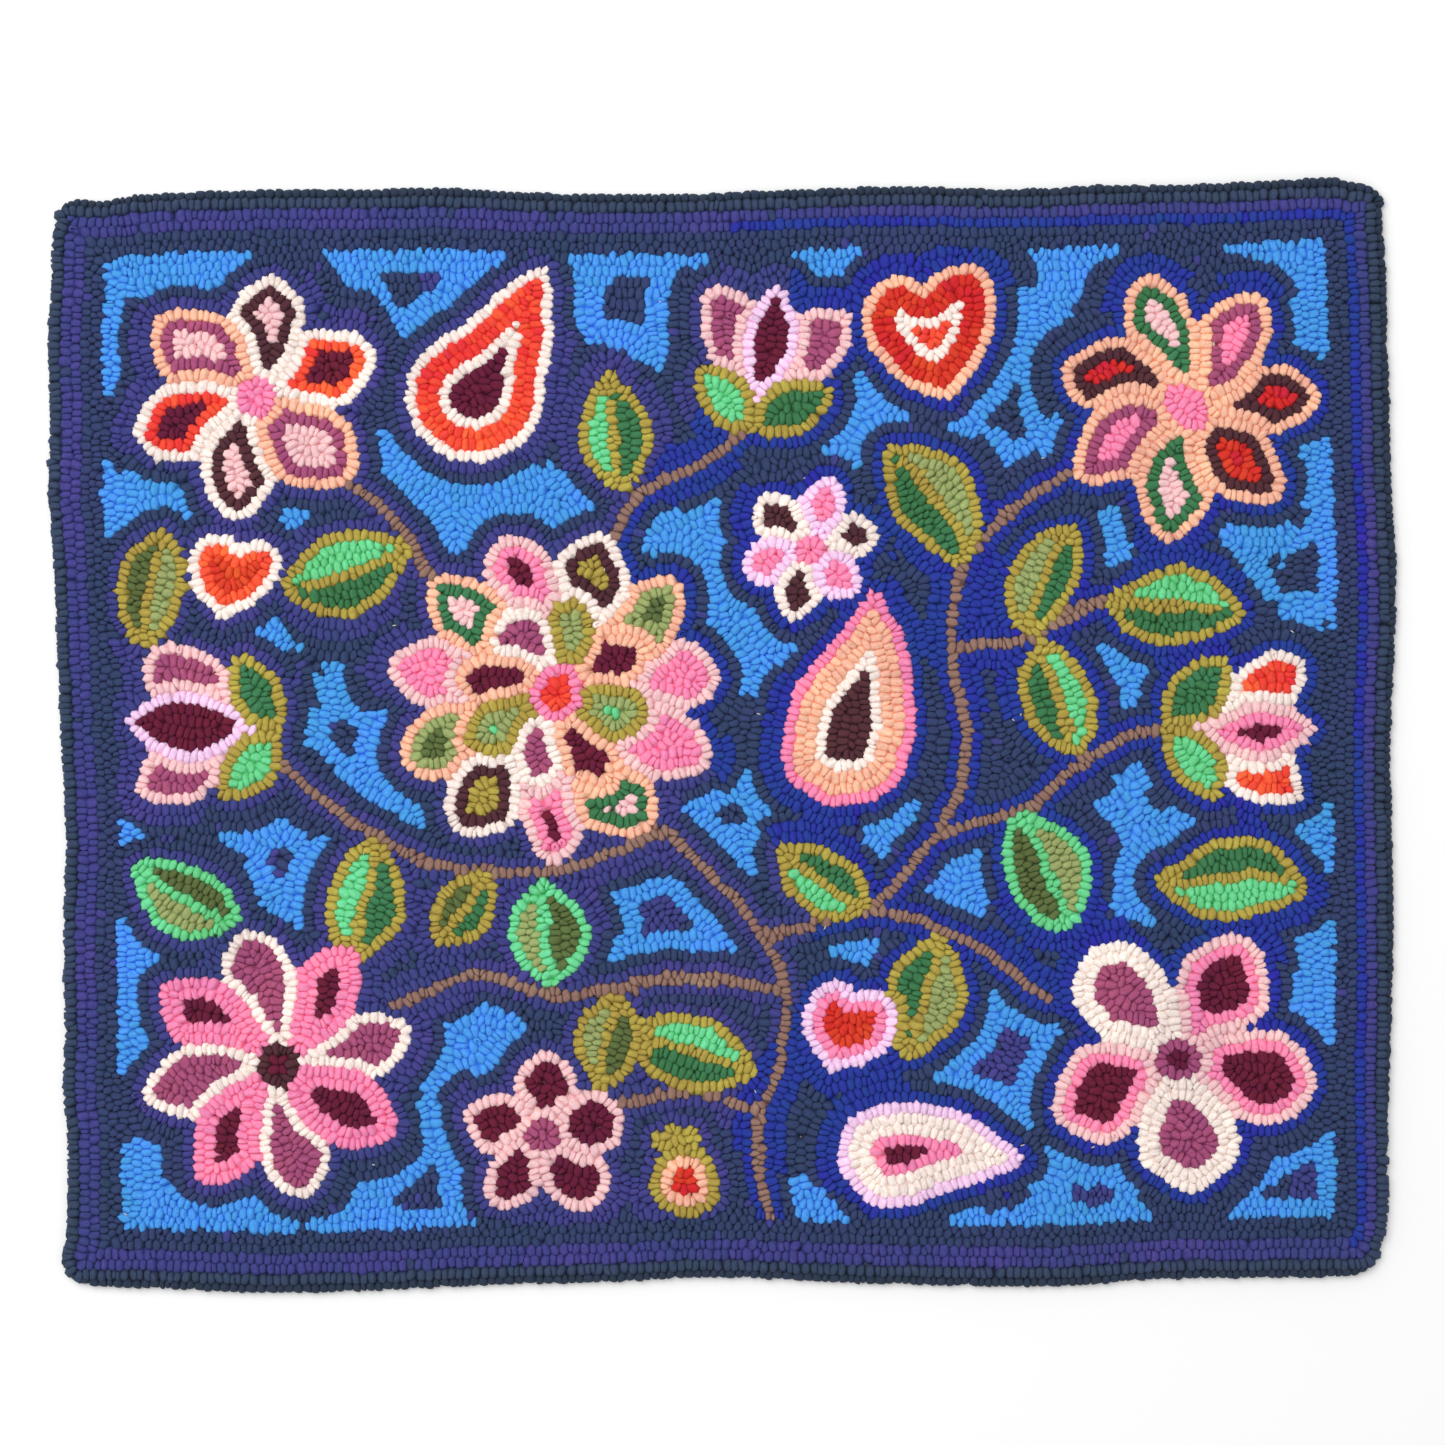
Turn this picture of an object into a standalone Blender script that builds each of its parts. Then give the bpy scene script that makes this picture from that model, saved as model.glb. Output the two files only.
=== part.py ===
"""A hooked rug lying flat: a woven foundation cloth, the field of loops hooked up through it, and the
navy strip worked over the turned edge as one run along each side. Metres, +Z up, with the origin under
the middle of the rug on the surface it lies on. +X runs along the long side."""

import math

import bmesh
import bpy

COLLECTION = "hooked_rug"

# The rug's own sizes.
HALF_WIDTH = 0.457
HALF_DEPTH = 0.3765
FOUNDATION_THICKNESS = 0.0024
PILE_TOP = 0.0094
ROLL_TOP = 0.0098
GAP = 0.0003

# The border's rows of loops run beside the edge as low ribs, and the field inside swells slowly.
BORDER_ROWS = 4
ROW_PITCH = 0.0066
ROW_RELIEF = 0.0008
FIELD_SWELL = 0.0005
FIELD_COLUMNS = 36
FIELD_ROWS = 28

# The rounded ends of the long edge runs.
END_SECTIONS = 5
END_LENGTH = 0.008
END_START = 0.07
END_FULLNESS = 0.7

# Rounds in which a point between two slanted sides settles on both.
SETTLING_STEPS = 6

# Edges sharper than this are shaded sharp.
SHARP_ANGLE = math.radians(40)

# Each side, in stations from its left or lower end to the other: how far along it the station lies,
# how far the rim stands out past the straight side there, and how wide the navy row is on top.
TOP_STATIONS = [
    # along, out, row
    (-0.4575, -0.0184, 0.0080),
    (-0.4530, -0.0122, 0.0110),
    (-0.4460, -0.0088, 0.0120),
    (-0.4240, -0.0094, 0.0120),
    (-0.4160, -0.0062, 0.0130),
    (-0.3500, -0.0026, 0.0135),
    (-0.2500, -0.0013, 0.0140),
    (-0.1800, -0.0006, 0.0140),
    (-0.1450, -0.0033, 0.0135),
    (-0.0400, -0.0047, 0.0135),
    (0.0600, -0.0012, 0.0135),
    (0.1280, 0.0008, 0.0135),
    (0.1970, -0.0013, 0.0135),
    (0.2660, 0.0015, 0.0135),
    (0.3340, 0.0022, 0.0135),
    (0.4030, 0.0063, 0.0145),
    (0.4215, 0.0063, 0.0145),
    (0.4300, 0.0035, 0.0140),
    (0.4440, 0.0018, 0.0130),
    (0.4500, -0.0030, 0.0115),
    (0.4555, -0.0060, 0.0100),
]
BOTTOM_STATIONS = [
    # along, out, row
    (-0.4500, -0.0045, 0.0060),
    (-0.4435, -0.0002, 0.0105),
    (-0.4200, 0.0029, 0.0120),
    (-0.3860, 0.0035, 0.0125),
    (-0.3300, 0.0063, 0.0130),
    (-0.2500, 0.0056, 0.0130),
    (-0.1800, 0.0022, 0.0130),
    (-0.0770, -0.0006, 0.0130),
    (-0.0090, -0.0040, 0.0125),
    (0.0940, 0.0001, 0.0130),
    (0.2320, 0.0022, 0.0135),
    (0.3000, -0.0026, 0.0130),
    (0.4100, -0.0040, 0.0130),
    (0.4325, -0.0047, 0.0125),
    (0.4420, -0.0078, 0.0115),
    (0.4500, -0.0150, 0.0090),
]
LEFT_STATIONS = [
    # along, out, row
    (-0.3690, -0.0042, 0.0095),
    (-0.3630, -0.0030, 0.0100),
    (-0.3550, -0.0038, 0.0095),
    (-0.3470, -0.0062, 0.0090),
    (-0.2780, -0.0078, 0.0080),
    (-0.2400, -0.0042, 0.0080),
    (-0.2090, -0.0060, 0.0080),
    (-0.1400, -0.0046, 0.0080),
    (-0.0720, -0.0066, 0.0080),
    (-0.0030, -0.0032, 0.0080),
    (0.1340, 0.0030, 0.0085),
    (0.1680, 0.0063, 0.0085),
    (0.2020, 0.0043, 0.0085),
    (0.2710, 0.0063, 0.0085),
    (0.3050, 0.0037, 0.0085),
    (0.3400, 0.0030, 0.0085),
    (0.3520, 0.0016, 0.0090),
]
RIGHT_STATIONS = [
    # along, out, row
    (-0.3540, -0.0090, 0.0045),
    (-0.3400, -0.0034, 0.0050),
    (-0.3120, -0.0012, 0.0060),
    (-0.2780, -0.0005, 0.0080),
    (-0.2090, 0.0023, 0.0105),
    (-0.1200, 0.0040, 0.0120),
    (-0.0030, 0.0023, 0.0120),
    (0.0990, 0.0063, 0.0125),
    (0.1680, 0.0030, 0.0125),
    (0.2370, 0.0009, 0.0125),
    (0.3050, -0.0005, 0.0125),
    (0.3500, -0.0032, 0.0125),
    (0.3620, -0.0045, 0.0120),
]

# The rolled row's section: how far out across the row a point lies, and how high up the roll.
ROLL_SECTION = [
    # across, height
    (0.00, 0.00),
    (0.00, 0.88),
    (0.22, 0.98),
    (0.50, 1.00),
    (0.74, 0.90),
    (0.92, 0.68),
    (1.00, 0.42),
    (0.95, 0.18),
    (0.84, 0.00),
]

# Slow waves in the height of the field: half waves across and up it, the phase, and the wave's share.
FIELD_WAVES = [
    # across, up, phase, share
    (3.0, 1.0, 0.4, 0.40),
    (1.0, 4.0, 1.9, 0.30),
    (5.0, 3.0, 3.1, 0.30),
]

NAVY = (0.030, 0.048, 0.110)
PURPLE = (0.058, 0.052, 0.240)
COTTON = (0.780, 0.740, 0.650)


def clear_scene():
    for obj in list(bpy.data.objects):
        bpy.data.objects.remove(obj, do_unlink=True)


def fabric(name, colour):
    """Cotton cloth: no metal and a rough surface."""
    material = bpy.data.materials.new(name)
    material.use_nodes = True
    shader = material.node_tree.nodes["Principled BSDF"]
    shader.inputs["Base Color"].default_value = (*colour, 1.0)
    shader.inputs["Roughness"].default_value = 0.9
    shader.inputs["Metallic"].default_value = 0.0
    return material


def smooth_value(stations, column, along):
    """A column of a side's table at any place along it, on a smooth curve through the stations."""
    last = len(stations) - 1
    if along <= stations[0][0]:
        return stations[0][column]
    if along >= stations[last][0]:
        return stations[last][column]
    i = max(k for k in range(last) if stations[k][0] <= along)
    (x0, y0), (x1, y1) = [(stations[k][0], stations[k][column]) for k in (i, i + 1)]
    before = stations[max(i - 1, 0)]
    after = stations[min(i + 2, last)]
    step = x1 - x0
    slope0 = (y1 - before[column]) / (x1 - before[0])
    slope1 = (after[column] - y0) / (after[0] - x0)
    t = (along - x0) / step
    return (
        (1 + 2 * t) * (1 - t) ** 2 * y0
        + t * (1 - t) ** 2 * step * slope0
        + t * t * (3 - 2 * t) * y1
        + t * t * (t - 1) * step * slope1
    )


class Side:
    """One side of the rug: its rim, the inner line of its navy row, and where the side begins and ends."""

    def __init__(self, stations, half, sign):
        self.stations = stations
        self.half = half
        self.sign = sign
        self.start = stations[0][0]
        self.end = stations[-1][0]

    def row(self, along):
        return smooth_value(self.stations, 2, along)

    def rim(self, along):
        return self.sign * (self.half + smooth_value(self.stations, 1, along))

    def inner(self, along):
        return self.rim(along) - self.sign * self.row(along)


TOP = Side(TOP_STATIONS, HALF_DEPTH, 1)
BOTTOM = Side(BOTTOM_STATIONS, HALF_DEPTH, -1)
LEFT = Side(LEFT_STATIONS, HALF_WIDTH, -1)
RIGHT = Side(RIGHT_STATIONS, HALF_WIDTH, 1)


def new_object(name, bm, material, collection):
    bmesh.ops.recalc_face_normals(bm, faces=bm.faces)
    mesh = bpy.data.meshes.new(name)
    bm.to_mesh(mesh)
    bm.free()
    mesh.materials.append(material)
    mesh.shade_smooth()
    mesh.set_sharp_from_angle(angle=SHARP_ANGLE)
    obj = bpy.data.objects.new(name, mesh)
    collection.objects.link(obj)
    return obj


def loft(bm, sections):
    """Skin a row of closed sections that have the same number of points, with a face over each end."""
    rings = [[bm.verts.new(point) for point in section] for section in sections]
    count = len(rings[0])
    for ring, following in zip(rings, rings[1:]):
        for k in range(count):
            n = (k + 1) % count
            bm.faces.new((ring[k], ring[n], following[n], following[k]))
    bm.faces.new(rings[0])
    bm.faces.new(reversed(rings[-1]))


def grid_shares(half, field_cells):
    """Grid lines across the field as shares of it: one on each crest and dip of the border's rows."""
    border = [k * ROW_PITCH / 2 / (2 * half) for k in range(2 * BORDER_ROWS + 1)]
    rest = [border[-1] + (1 - 2 * border[-1]) * k / field_cells for k in range(1, field_cells)]
    return border + rest + [1 - share for share in reversed(border)]


COLUMNS = grid_shares(HALF_WIDTH, FIELD_COLUMNS)
ROWS = grid_shares(HALF_DEPTH, FIELD_ROWS)


def inside_edge(u, v):
    """The point that lies a share u across and a share v up the space inside the four navy rows."""
    x = (2 * u - 1) * HALF_WIDTH
    y = (2 * v - 1) * HALF_DEPTH
    for _ in range(SETTLING_STEPS):
        left, right = LEFT.inner(y) + GAP, RIGHT.inner(y) - GAP
        x = left + (right - left) * u
        low, high = BOTTOM.inner(x) + GAP, TOP.inner(x) - GAP
        y = low + (high - low) * v
    return x, y


def short_run_point(side, across, share):
    """A point across a short run's row, a share of the way from the lower long run to the upper one."""
    y = side.start + (side.end - side.start) * share
    for _ in range(SETTLING_STEPS):
        x = side.inner(y) + side.sign * side.row(y) * across
        low, high = BOTTOM.inner(x) + GAP, TOP.inner(x) - GAP
        y = low + (high - low) * share
    return x, y


def run_places(side):
    """Places along a long run, each with how full the roll is there: its rounded ends, then a place for
    each point that faces it, on the field's rim and on the short runs' end faces."""
    ends = []
    for k in range(END_SECTIONS):
        turn = (END_START + k / END_SECTIONS) * math.pi / 2
        ends.append((END_LENGTH * (1 - math.cos(turn)), math.sin(turn) ** END_FULLNESS))
    level = 1.0 if side is TOP else 0.0
    faced = {inside_edge(u, level)[0] for u in COLUMNS}
    for short in (LEFT, RIGHT):
        faced |= {short_run_point(short, across, level)[0] for across, _ in ROLL_SECTION}
    first, last = side.start + END_LENGTH, side.end - END_LENGTH
    middle = [(x, 1.0) for x in sorted(faced) if first < x < last]
    start = [(side.start + inset, full) for inset, full in ends]
    end = [(side.end - inset, full) for inset, full in reversed(ends)]
    return start + middle + end


def long_run(name, side, material, collection):
    """The navy row along the whole of a long side, with a rounded end at each corner."""
    sections = []
    for along, full in run_places(side):
        inner, row = side.inner(along), side.row(along)
        section = []
        for across, height in ROLL_SECTION:
            kept = across * full + (1 - full) / 2
            section.append((along, inner + side.sign * row * kept, ROLL_TOP * height * full))
        sections.append(section)
    bm = bmesh.new()
    loft(bm, sections)
    return new_object(name, bm, material, collection)


def short_run(name, side, material, collection):
    """The navy row along a short side, cut to fit between the two long runs."""
    sections = []
    for share in ROWS:
        section = []
        for across, height in ROLL_SECTION:
            x, y = short_run_point(side, across, share)
            section.append((x, y, ROLL_TOP * height))
        sections.append(section)
    bm = bmesh.new()
    loft(bm, sections)
    return new_object(name, bm, material, collection)


def pile_height(x, y, u, v):
    """The height of the loops: low ribs along the border's rows, then a field that swells slowly."""
    inset = min(min(u, 1 - u) * 2 * HALF_WIDTH, min(v, 1 - v) * 2 * HALF_DEPTH)
    rows_in = min(inset / ROW_PITCH, BORDER_ROWS + 0.5)
    rib = math.sin(math.pi * rows_in) ** 2
    swell = sum(
        share * math.sin(math.pi * (across * x / HALF_WIDTH + up * y / HALF_DEPTH) + phase)
        for across, up, phase, share in FIELD_WAVES
    )
    return PILE_TOP - ROW_RELIEF * (1 - rib) + FIELD_SWELL * swell


def pile(name, material, collection):
    """The loops as a slab inside the navy rows, with a flat underside and an uneven top."""
    bm = bmesh.new()
    top = []
    for v in ROWS:
        line = []
        for u in COLUMNS:
            x, y = inside_edge(u, v)
            line.append(bm.verts.new((x, y, pile_height(x, y, u, v))))
        top.append(line)
    for lower, upper in zip(top, top[1:]):
        for k in range(len(COLUMNS) - 1):
            bm.faces.new((lower[k], lower[k + 1], upper[k + 1], upper[k]))
    right = [line[-1] for line in top[1:-1]]
    left = [line[0] for line in reversed(top[1:-1])]
    rim = top[0] + right + list(reversed(top[-1])) + left
    foot = [bm.verts.new((vert.co.x, vert.co.y, FOUNDATION_THICKNESS + GAP)) for vert in rim]
    for k in range(len(rim)):
        n = (k + 1) % len(rim)
        bm.faces.new((rim[k], foot[k], foot[n], rim[n]))
    bm.faces.new(foot)
    return new_object(name, bm, material, collection)


def foundation(name, material, collection):
    """The foundation cloth, with its turned hem, as one even thickness inside the navy rows."""
    rim = [inside_edge(u, 0.0) for u in COLUMNS]
    rim += [inside_edge(1.0, v) for v in ROWS[1:-1]]
    rim += [inside_edge(u, 1.0) for u in reversed(COLUMNS)]
    rim += [inside_edge(0.0, v) for v in reversed(ROWS[1:-1])]
    bm = bmesh.new()
    face = bm.faces.new([bm.verts.new((x, y, 0.0)) for x, y in rim])
    raised = bmesh.ops.extrude_face_region(bm, geom=[face])
    verts = [item for item in raised["geom"] if isinstance(item, bmesh.types.BMVert)]
    bmesh.ops.translate(bm, verts=verts, vec=(0.0, 0.0, FOUNDATION_THICKNESS))
    return new_object(name, bm, material, collection)


def main():
    clear_scene()
    collection = bpy.data.collections.new(COLLECTION)
    bpy.context.scene.collection.children.link(collection)
    foundation("foundation_cloth", fabric("cotton_foundation", COTTON), collection)
    pile("hooked_pile", fabric("purple_jersey_loops", PURPLE), collection)
    navy = fabric("navy_jersey_strip", NAVY)
    long_run("edge_top", TOP, navy, collection)
    long_run("edge_bottom", BOTTOM, navy, collection)
    short_run("edge_left", LEFT, navy, collection)
    short_run("edge_right", RIGHT, navy, collection)


main()
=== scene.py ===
# %% [markdown]
# # A hooked rug, loop by loop
#
# The real rug is a cotton foundation cloth with narrow strips of cotton jersey pulled up through it. A hook
# brings up one loop at a time, row beside row, and a navy strip is worked over the turned edge last.
# A picture of loops painted on a flat slab would look flat from the side, so this lesson makes every loop.
# First the solid model of the rug is loaded. It gives the outline and the thickness to work to.

# %% Load the solid model
import math

import bpy
import numpy as np
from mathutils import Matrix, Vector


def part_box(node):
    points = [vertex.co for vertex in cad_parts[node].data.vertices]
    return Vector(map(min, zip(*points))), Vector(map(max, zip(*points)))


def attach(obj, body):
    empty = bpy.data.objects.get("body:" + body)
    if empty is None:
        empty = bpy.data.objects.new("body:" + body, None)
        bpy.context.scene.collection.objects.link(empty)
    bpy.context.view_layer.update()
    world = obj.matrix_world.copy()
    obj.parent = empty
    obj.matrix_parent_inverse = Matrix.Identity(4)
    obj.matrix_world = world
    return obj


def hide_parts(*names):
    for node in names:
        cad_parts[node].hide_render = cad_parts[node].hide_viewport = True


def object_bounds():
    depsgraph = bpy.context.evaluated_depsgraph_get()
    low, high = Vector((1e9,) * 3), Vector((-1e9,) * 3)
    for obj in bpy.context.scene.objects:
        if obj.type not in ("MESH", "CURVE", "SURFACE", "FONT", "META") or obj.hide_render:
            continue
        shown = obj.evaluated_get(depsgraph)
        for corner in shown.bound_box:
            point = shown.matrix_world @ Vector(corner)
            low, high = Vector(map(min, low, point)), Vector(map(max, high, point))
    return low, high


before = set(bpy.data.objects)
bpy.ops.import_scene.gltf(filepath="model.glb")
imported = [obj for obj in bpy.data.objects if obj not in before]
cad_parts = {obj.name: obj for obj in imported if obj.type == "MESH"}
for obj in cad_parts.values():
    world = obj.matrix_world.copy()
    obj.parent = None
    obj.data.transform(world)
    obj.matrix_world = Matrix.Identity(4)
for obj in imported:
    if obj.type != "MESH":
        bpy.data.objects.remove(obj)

cad_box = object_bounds()
CAD_SIZE = [high - low for low, high in zip(*cad_box)]
print("The solid rug measures", [round(1000 * side, 1) for side in CAD_SIZE], "mm")

# %% [markdown]
# ## The working grid
#
# A rug hooker draws the design on the foundation before the first loop. Here the drawing is a grid of cells
# of 1 mm, and plain array arithmetic takes the place of the pencil. Row 0 of the grid is the near side.

# %% Lay out the grid
MM = 0.001
CELL = 1.0
EDGE_ROOM = 8
GRID_WIDE = int(CAD_SIZE[0] / MM / CELL) + 2 * EDGE_ROOM
GRID_HIGH = int(CAD_SIZE[1] / MM / CELL) + 2 * EDGE_ROOM
X, Y = np.meshgrid((np.arange(GRID_WIDE) + 0.5 - GRID_WIDE / 2) * CELL,
                   (np.arange(GRID_HIGH) + 0.5 - GRID_HIGH / 2) * CELL)
print("The grid has", GRID_WIDE, "by", GRID_HIGH, "cells")


def in_cells(points):
    """Turns places in millimetres to places on the grid, in cells."""
    return np.asarray(points) / CELL + [GRID_WIDE / 2 - 0.5, GRID_HIGH / 2 - 0.5]


def in_millimetres(places):
    """Turns places on the grid to places in millimetres."""
    return (places + 0.5) * CELL - [GRID_WIDE * CELL / 2, GRID_HIGH * CELL / 2]


def cell_at(places):
    """The column and row of the cell under each place on the grid."""
    at = np.rint(places).astype(int)
    return np.clip(at[..., 0], 0, GRID_WIDE - 1), np.clip(at[..., 1], 0, GRID_HIGH - 1)


# %% [markdown]
# ## The outline, read from the solids
#
# The rug's sides are a little uneven, and the corners have small lumps. The solids already hold them, so
# each solid's triangles are laid on the grid, and the cells they cover are its footprint.

# %% Footprints of the solids
LEAST_AREA = 0.01


def footprint(names):
    """Marks the cells that the named solids cover, seen from above."""
    covered = np.zeros(X.shape, bool)
    for name in names:
        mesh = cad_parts[name].data
        mesh.calc_loop_triangles()
        flat = in_cells(np.array([vertex.co[:2] for vertex in mesh.vertices]) / MM)
        for triangle in mesh.loop_triangles:
            a, b, c = flat[list(triangle.vertices)]
            area = (b[0] - a[0]) * (c[1] - a[1]) - (b[1] - a[1]) * (c[0] - a[0])
            if abs(area) < LEAST_AREA:
                continue
            low = np.ceil(np.minimum(np.minimum(a, b), c)).astype(int)
            high = np.floor(np.maximum(np.maximum(a, b), c)).astype(int) + 1
            if (high <= low).any():
                continue
            x, y = np.meshgrid(np.arange(low[0], high[0]), np.arange(low[1], high[1]))
            inside = np.ones(x.shape, bool)
            for p, q in ((a, b), (b, c), (c, a)):
                side = (q[0] - p[0]) * (y - p[1]) - (q[1] - p[1]) * (x - p[0])
                inside &= side * area >= 0
            covered[low[1]:high[1], low[0]:high[0]] |= inside
    return covered


EDGE_NODES = ["edge_top", "edge_bottom", "edge_left", "edge_right"]
pile_area = footprint(["hooked_pile"])
rug_area = pile_area | footprint(["foundation_cloth"]) | footprint(EDGE_NODES)
print("The pile covers", int(pile_area.sum()), "and the rug", int(rug_area.sum()), "square millimetres")

# %% [markdown]
# ## Distances
#
# Nearly everything on a hooked rug is counted in rows from an edge: the border from the rug's edge, a petal
# from its own outline. So the most useful helper is one that gives each cell its distance to a marked area.
# It looks along the columns first and then compares shifted copies sideways, which keeps it exact and quick.

# %% Distance and smoothing helpers
FAR_AWAY = 1.0e4
WAVE_COUNT = 10
WAVE_LENGTHS = (0.6, 1.6)
WAVE_PEAK = 3.2


def distance_to(marked, reach=90):
    """Distance in mm from each cell to the nearest marked one, up to a reach."""
    steps = np.arange(GRID_HIGH, dtype=np.float32)[:, None]
    below = steps - np.maximum.accumulate(np.where(marked, steps, -FAR_AWAY), axis=0)
    above = np.minimum.accumulate(np.where(marked, steps, FAR_AWAY)[::-1], axis=0)[::-1] - steps
    column = np.minimum(np.minimum(below, above), FAR_AWAY).astype(np.float32) ** 2
    best = column.copy()
    for shift in range(1, int(reach / CELL) + 1):
        best[:, shift:] = np.minimum(best[:, shift:], column[:, :-shift] + shift * shift)
        best[:, :-shift] = np.minimum(best[:, :-shift], column[:, shift:] + shift * shift)
    return np.sqrt(best) * CELL


def box_blur(values, radius):
    """Mean over a square window, by running sums."""
    width = 2 * radius + 1
    for axis in (0, 1):
        room = [(0, 0), (0, 0)]
        room[axis] = (radius + 1, radius)
        run = np.cumsum(np.pad(values, room, mode="edge"), axis=axis)
        ahead = np.take(run, range(width, run.shape[axis]), axis)
        behind = np.take(run, range(0, run.shape[axis] - width), axis)
        values = (ahead - behind) / width
    return values


def waves(seed, size):
    """A smooth uneven field from a few seeded waves, about -1 to 1."""
    draw = np.random.default_rng(seed)
    total = np.zeros_like(X)
    for _ in range(WAVE_COUNT):
        angle = draw.uniform(0, 2 * math.pi)
        length = size * draw.uniform(*WAVE_LENGTHS)
        along = X * math.cos(angle) + Y * math.sin(angle)
        total += np.sin(along * 2 * math.pi / length + draw.uniform(0, 2 * math.pi))
    return total / WAVE_PEAK


from_rim = np.where(pile_area, distance_to(~pile_area), 1 - distance_to(pile_area)) - CELL / 2
from_rim = box_blur(from_rim, 1)

# %% [markdown]
# ## Strips and rows
#
# A jersey strip about 12 mm wide curls up into a cord when it is hooked, and its loop stands about 5 mm
# wide along the row. The rows lie about 7.5 mm apart. In the border they lie closer, with wider loops.

# %% Loop sizes
LOOP_STEP = 5.05
BORDER_STEP = 5.4
ROW_PITCH = 7.6
BORDER_PITCH = 6.9
BORDER_ROWS = 4
EDGE_ROW = 7.8
BORDER = BORDER_PITCH * BORDER_ROWS
in_field = pile_area & (from_rim > BORDER)
in_edge_row = rug_area & ~pile_area & (from_rim > -EDGE_ROW)
print("The field inside the border covers", int(in_field.sum()), "square millimetres")

# %% [markdown]
# ## The colours of jersey
#
# Old T-shirts and leggings give the strips their colours. The rolled navy is the edge navy made darker,
# which is painted shade on the turned edge. Each is written as the hex value a screen shows, and one
# function turns it to the linear values that a renderer works in.

# %% Colours
JERSEY = {
    "navy": "#36436a",
    "purple": "#424387",
    "royal": "#2b3c9c",
    "sky": "#4c9dea",
    "cream": "#fdeee6",
    "pale_pink": "#f6c9cc",
    "lilac_pink": "#f9d3f3",
    "hot_pink": "#fb8fb8",
    "mauve": "#a8527a",
    "maroon": "#6a1f3a",
    "plum": "#553038",
    "orange": "#f5553c",
    "red": "#d8352b",
    "dark_green": "#3f7a4f",
    "mint": "#6fd694",
    "khaki": "#b3a04a",
    "sage": "#9caa6c",
    "olive": "#5f6f40",
    "peach": "#f9bfa3",
    "taupe": "#957468",
    "edge_navy": "#3a4863",
    # The strip over the rim is the edge navy made darker: painted shade on the turned edge.
    "rolled_navy_painted_shade": "#303c50",
}
COLOUR_NAMES = list(JERSEY)
COLOUR_NUMBER = {name: number for number, name in enumerate(COLOUR_NAMES)}


def linear(text):
    """The linear red, green and blue of an sRGB hex colour."""
    shares = [int(text[i:i + 2], 16) / 255 for i in (1, 3, 5)]
    return tuple(s / 12.92 if s <= 0.04045 else ((s + 0.055) / 1.055) ** 2.4 for s in shares)


# %% [markdown]
# ## Drawing the design
#
# The motifs are the common ones of folk needlework: round flowers, cup flowers, leaves, paisleys, hearts
# and a pomegranate on winding stems. Each is a formula, painted over what lies under it. A little slow
# waviness in the coordinates gives every outline the unsteadiness of a hand.
#
# A recipe is a row-by-row list of colours from a motif's outline inward. Its last colour fills the rest.
# That is how such a motif is hooked: the outline first, then row after row inside it.

# %% Motif shapes
SLOW, SLOW_LENGTH = 2.2, 90
QUICK, QUICK_LENGTH = 0.8, 30
wavy_x = X + SLOW * waves(3, SLOW_LENGTH) + QUICK * waves(5, QUICK_LENGTH)
wavy_y = Y + SLOW * waves(4, SLOW_LENGTH) + QUICK * waves(6, QUICK_LENGTH)
GROUND = 0
part_of = np.zeros(X.shape, int)
outline_of = np.zeros(X.shape, int)
side_of_rib = np.zeros(X.shape)
recipes = [None]
WAVE_ROOM = 6
PETAL_ROOM = 1.3
HEART_ROOM = 1.5
RIB_END = 0.86


def around(low, high):
    """The part of the grid between two places, with room for the waviness."""
    corners = np.array([np.asarray(low) - WAVE_ROOM, np.asarray(high) + WAVE_ROOM])
    columns, rows = cell_at(in_cells(corners))
    return np.s_[rows[0]:rows[1] + 1, columns[0]:columns[1] + 1]


def paint(window, mask, recipe, keeps_outline=False):
    """Gives a motif's cells their number and remembers its recipe."""
    recipes.append(recipe)
    part_of[window][mask] = len(recipes) - 1
    if not keeps_outline:
        outline_of[window][mask] = len(recipes) - 1


def from_place(x, y, reach):
    """The window around a place, and each cell's wavy distance from it along x and y."""
    window = around((x - reach, y - reach), (x + reach, y + reach))
    return window, wavy_x[window] - x, wavy_y[window] - y


def turned(dx, dy, angle):
    """The same distances along and across a direction."""
    turn = math.radians(angle)
    return dx * math.cos(turn) + dy * math.sin(turn), dy * math.cos(turn) - dx * math.sin(turn)


def petal_cells(x, y, angle, length, width, belly=0.6, tip=0.62, bend=0.0, curl=0.0):
    """The cells of a petal: belly is where it is widest, and a low tip value makes its ends blunt."""
    window, dx, dy = from_place(x, y, PETAL_ROOM * length)
    along, across = turned(dx, dy, angle)
    along = along / length
    across = across - length * (bend * 2 * along * (1 - along) + curl * along ** 3)
    inside = (along > 0) & (along < 1)
    power = math.log(0.5) / math.log(belly)
    half = width / 2 * np.sin(math.pi * np.clip(along, 0, 1) ** power) ** tip
    return window, inside & (np.abs(across) < half), along, across


def disc(x, y, radius, *recipe):
    """A round spot."""
    window, dx, dy = from_place(x, y, radius)
    paint(window, np.hypot(dx, dy) < radius, recipe)


def petal(x, y, angle, length, width, *recipe, **form):
    """One petal, hooked from its outline inward."""
    window, mask, _, _ = petal_cells(x, y, angle, length, width, **form)
    paint(window, mask, recipe)


def flower(x, y, count, length, width, start, petal_recipes, centre=None, **form):
    """A ring of petals, with their recipes in turn, and a round centre."""
    for number in range(count):
        angle = start + 360 * number / count
        petal(x, y, angle, length, width, *petal_recipes[number % len(petal_recipes)], **form)
    if centre:
        disc(x, y, centre[0], *centre[1:])


def leaf(x, y, angle, length, width, bend, edge, left_half, right_half):
    """A leaf in two greens, with an outline and a rib of one row each."""
    window, mask, along, across = petal_cells(x, y, angle, length, width, belly=0.5, tip=0.66, bend=bend)
    paint(window, mask, (edge, (left_half, right_half)))
    side_of_rib[window][mask] = across[mask]
    rib = mask & (np.abs(across) < ROW_PITCH / 2) & (along < RIB_END)
    paint(window, rib, (edge,), keeps_outline=True)


def paisley(x, y, angle, length, width, curl, *recipe):
    """A fat drop with its tip curled to one side."""
    petal(x, y, angle, length, width, *recipe, belly=0.36, tip=0.72, curl=curl)


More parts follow.
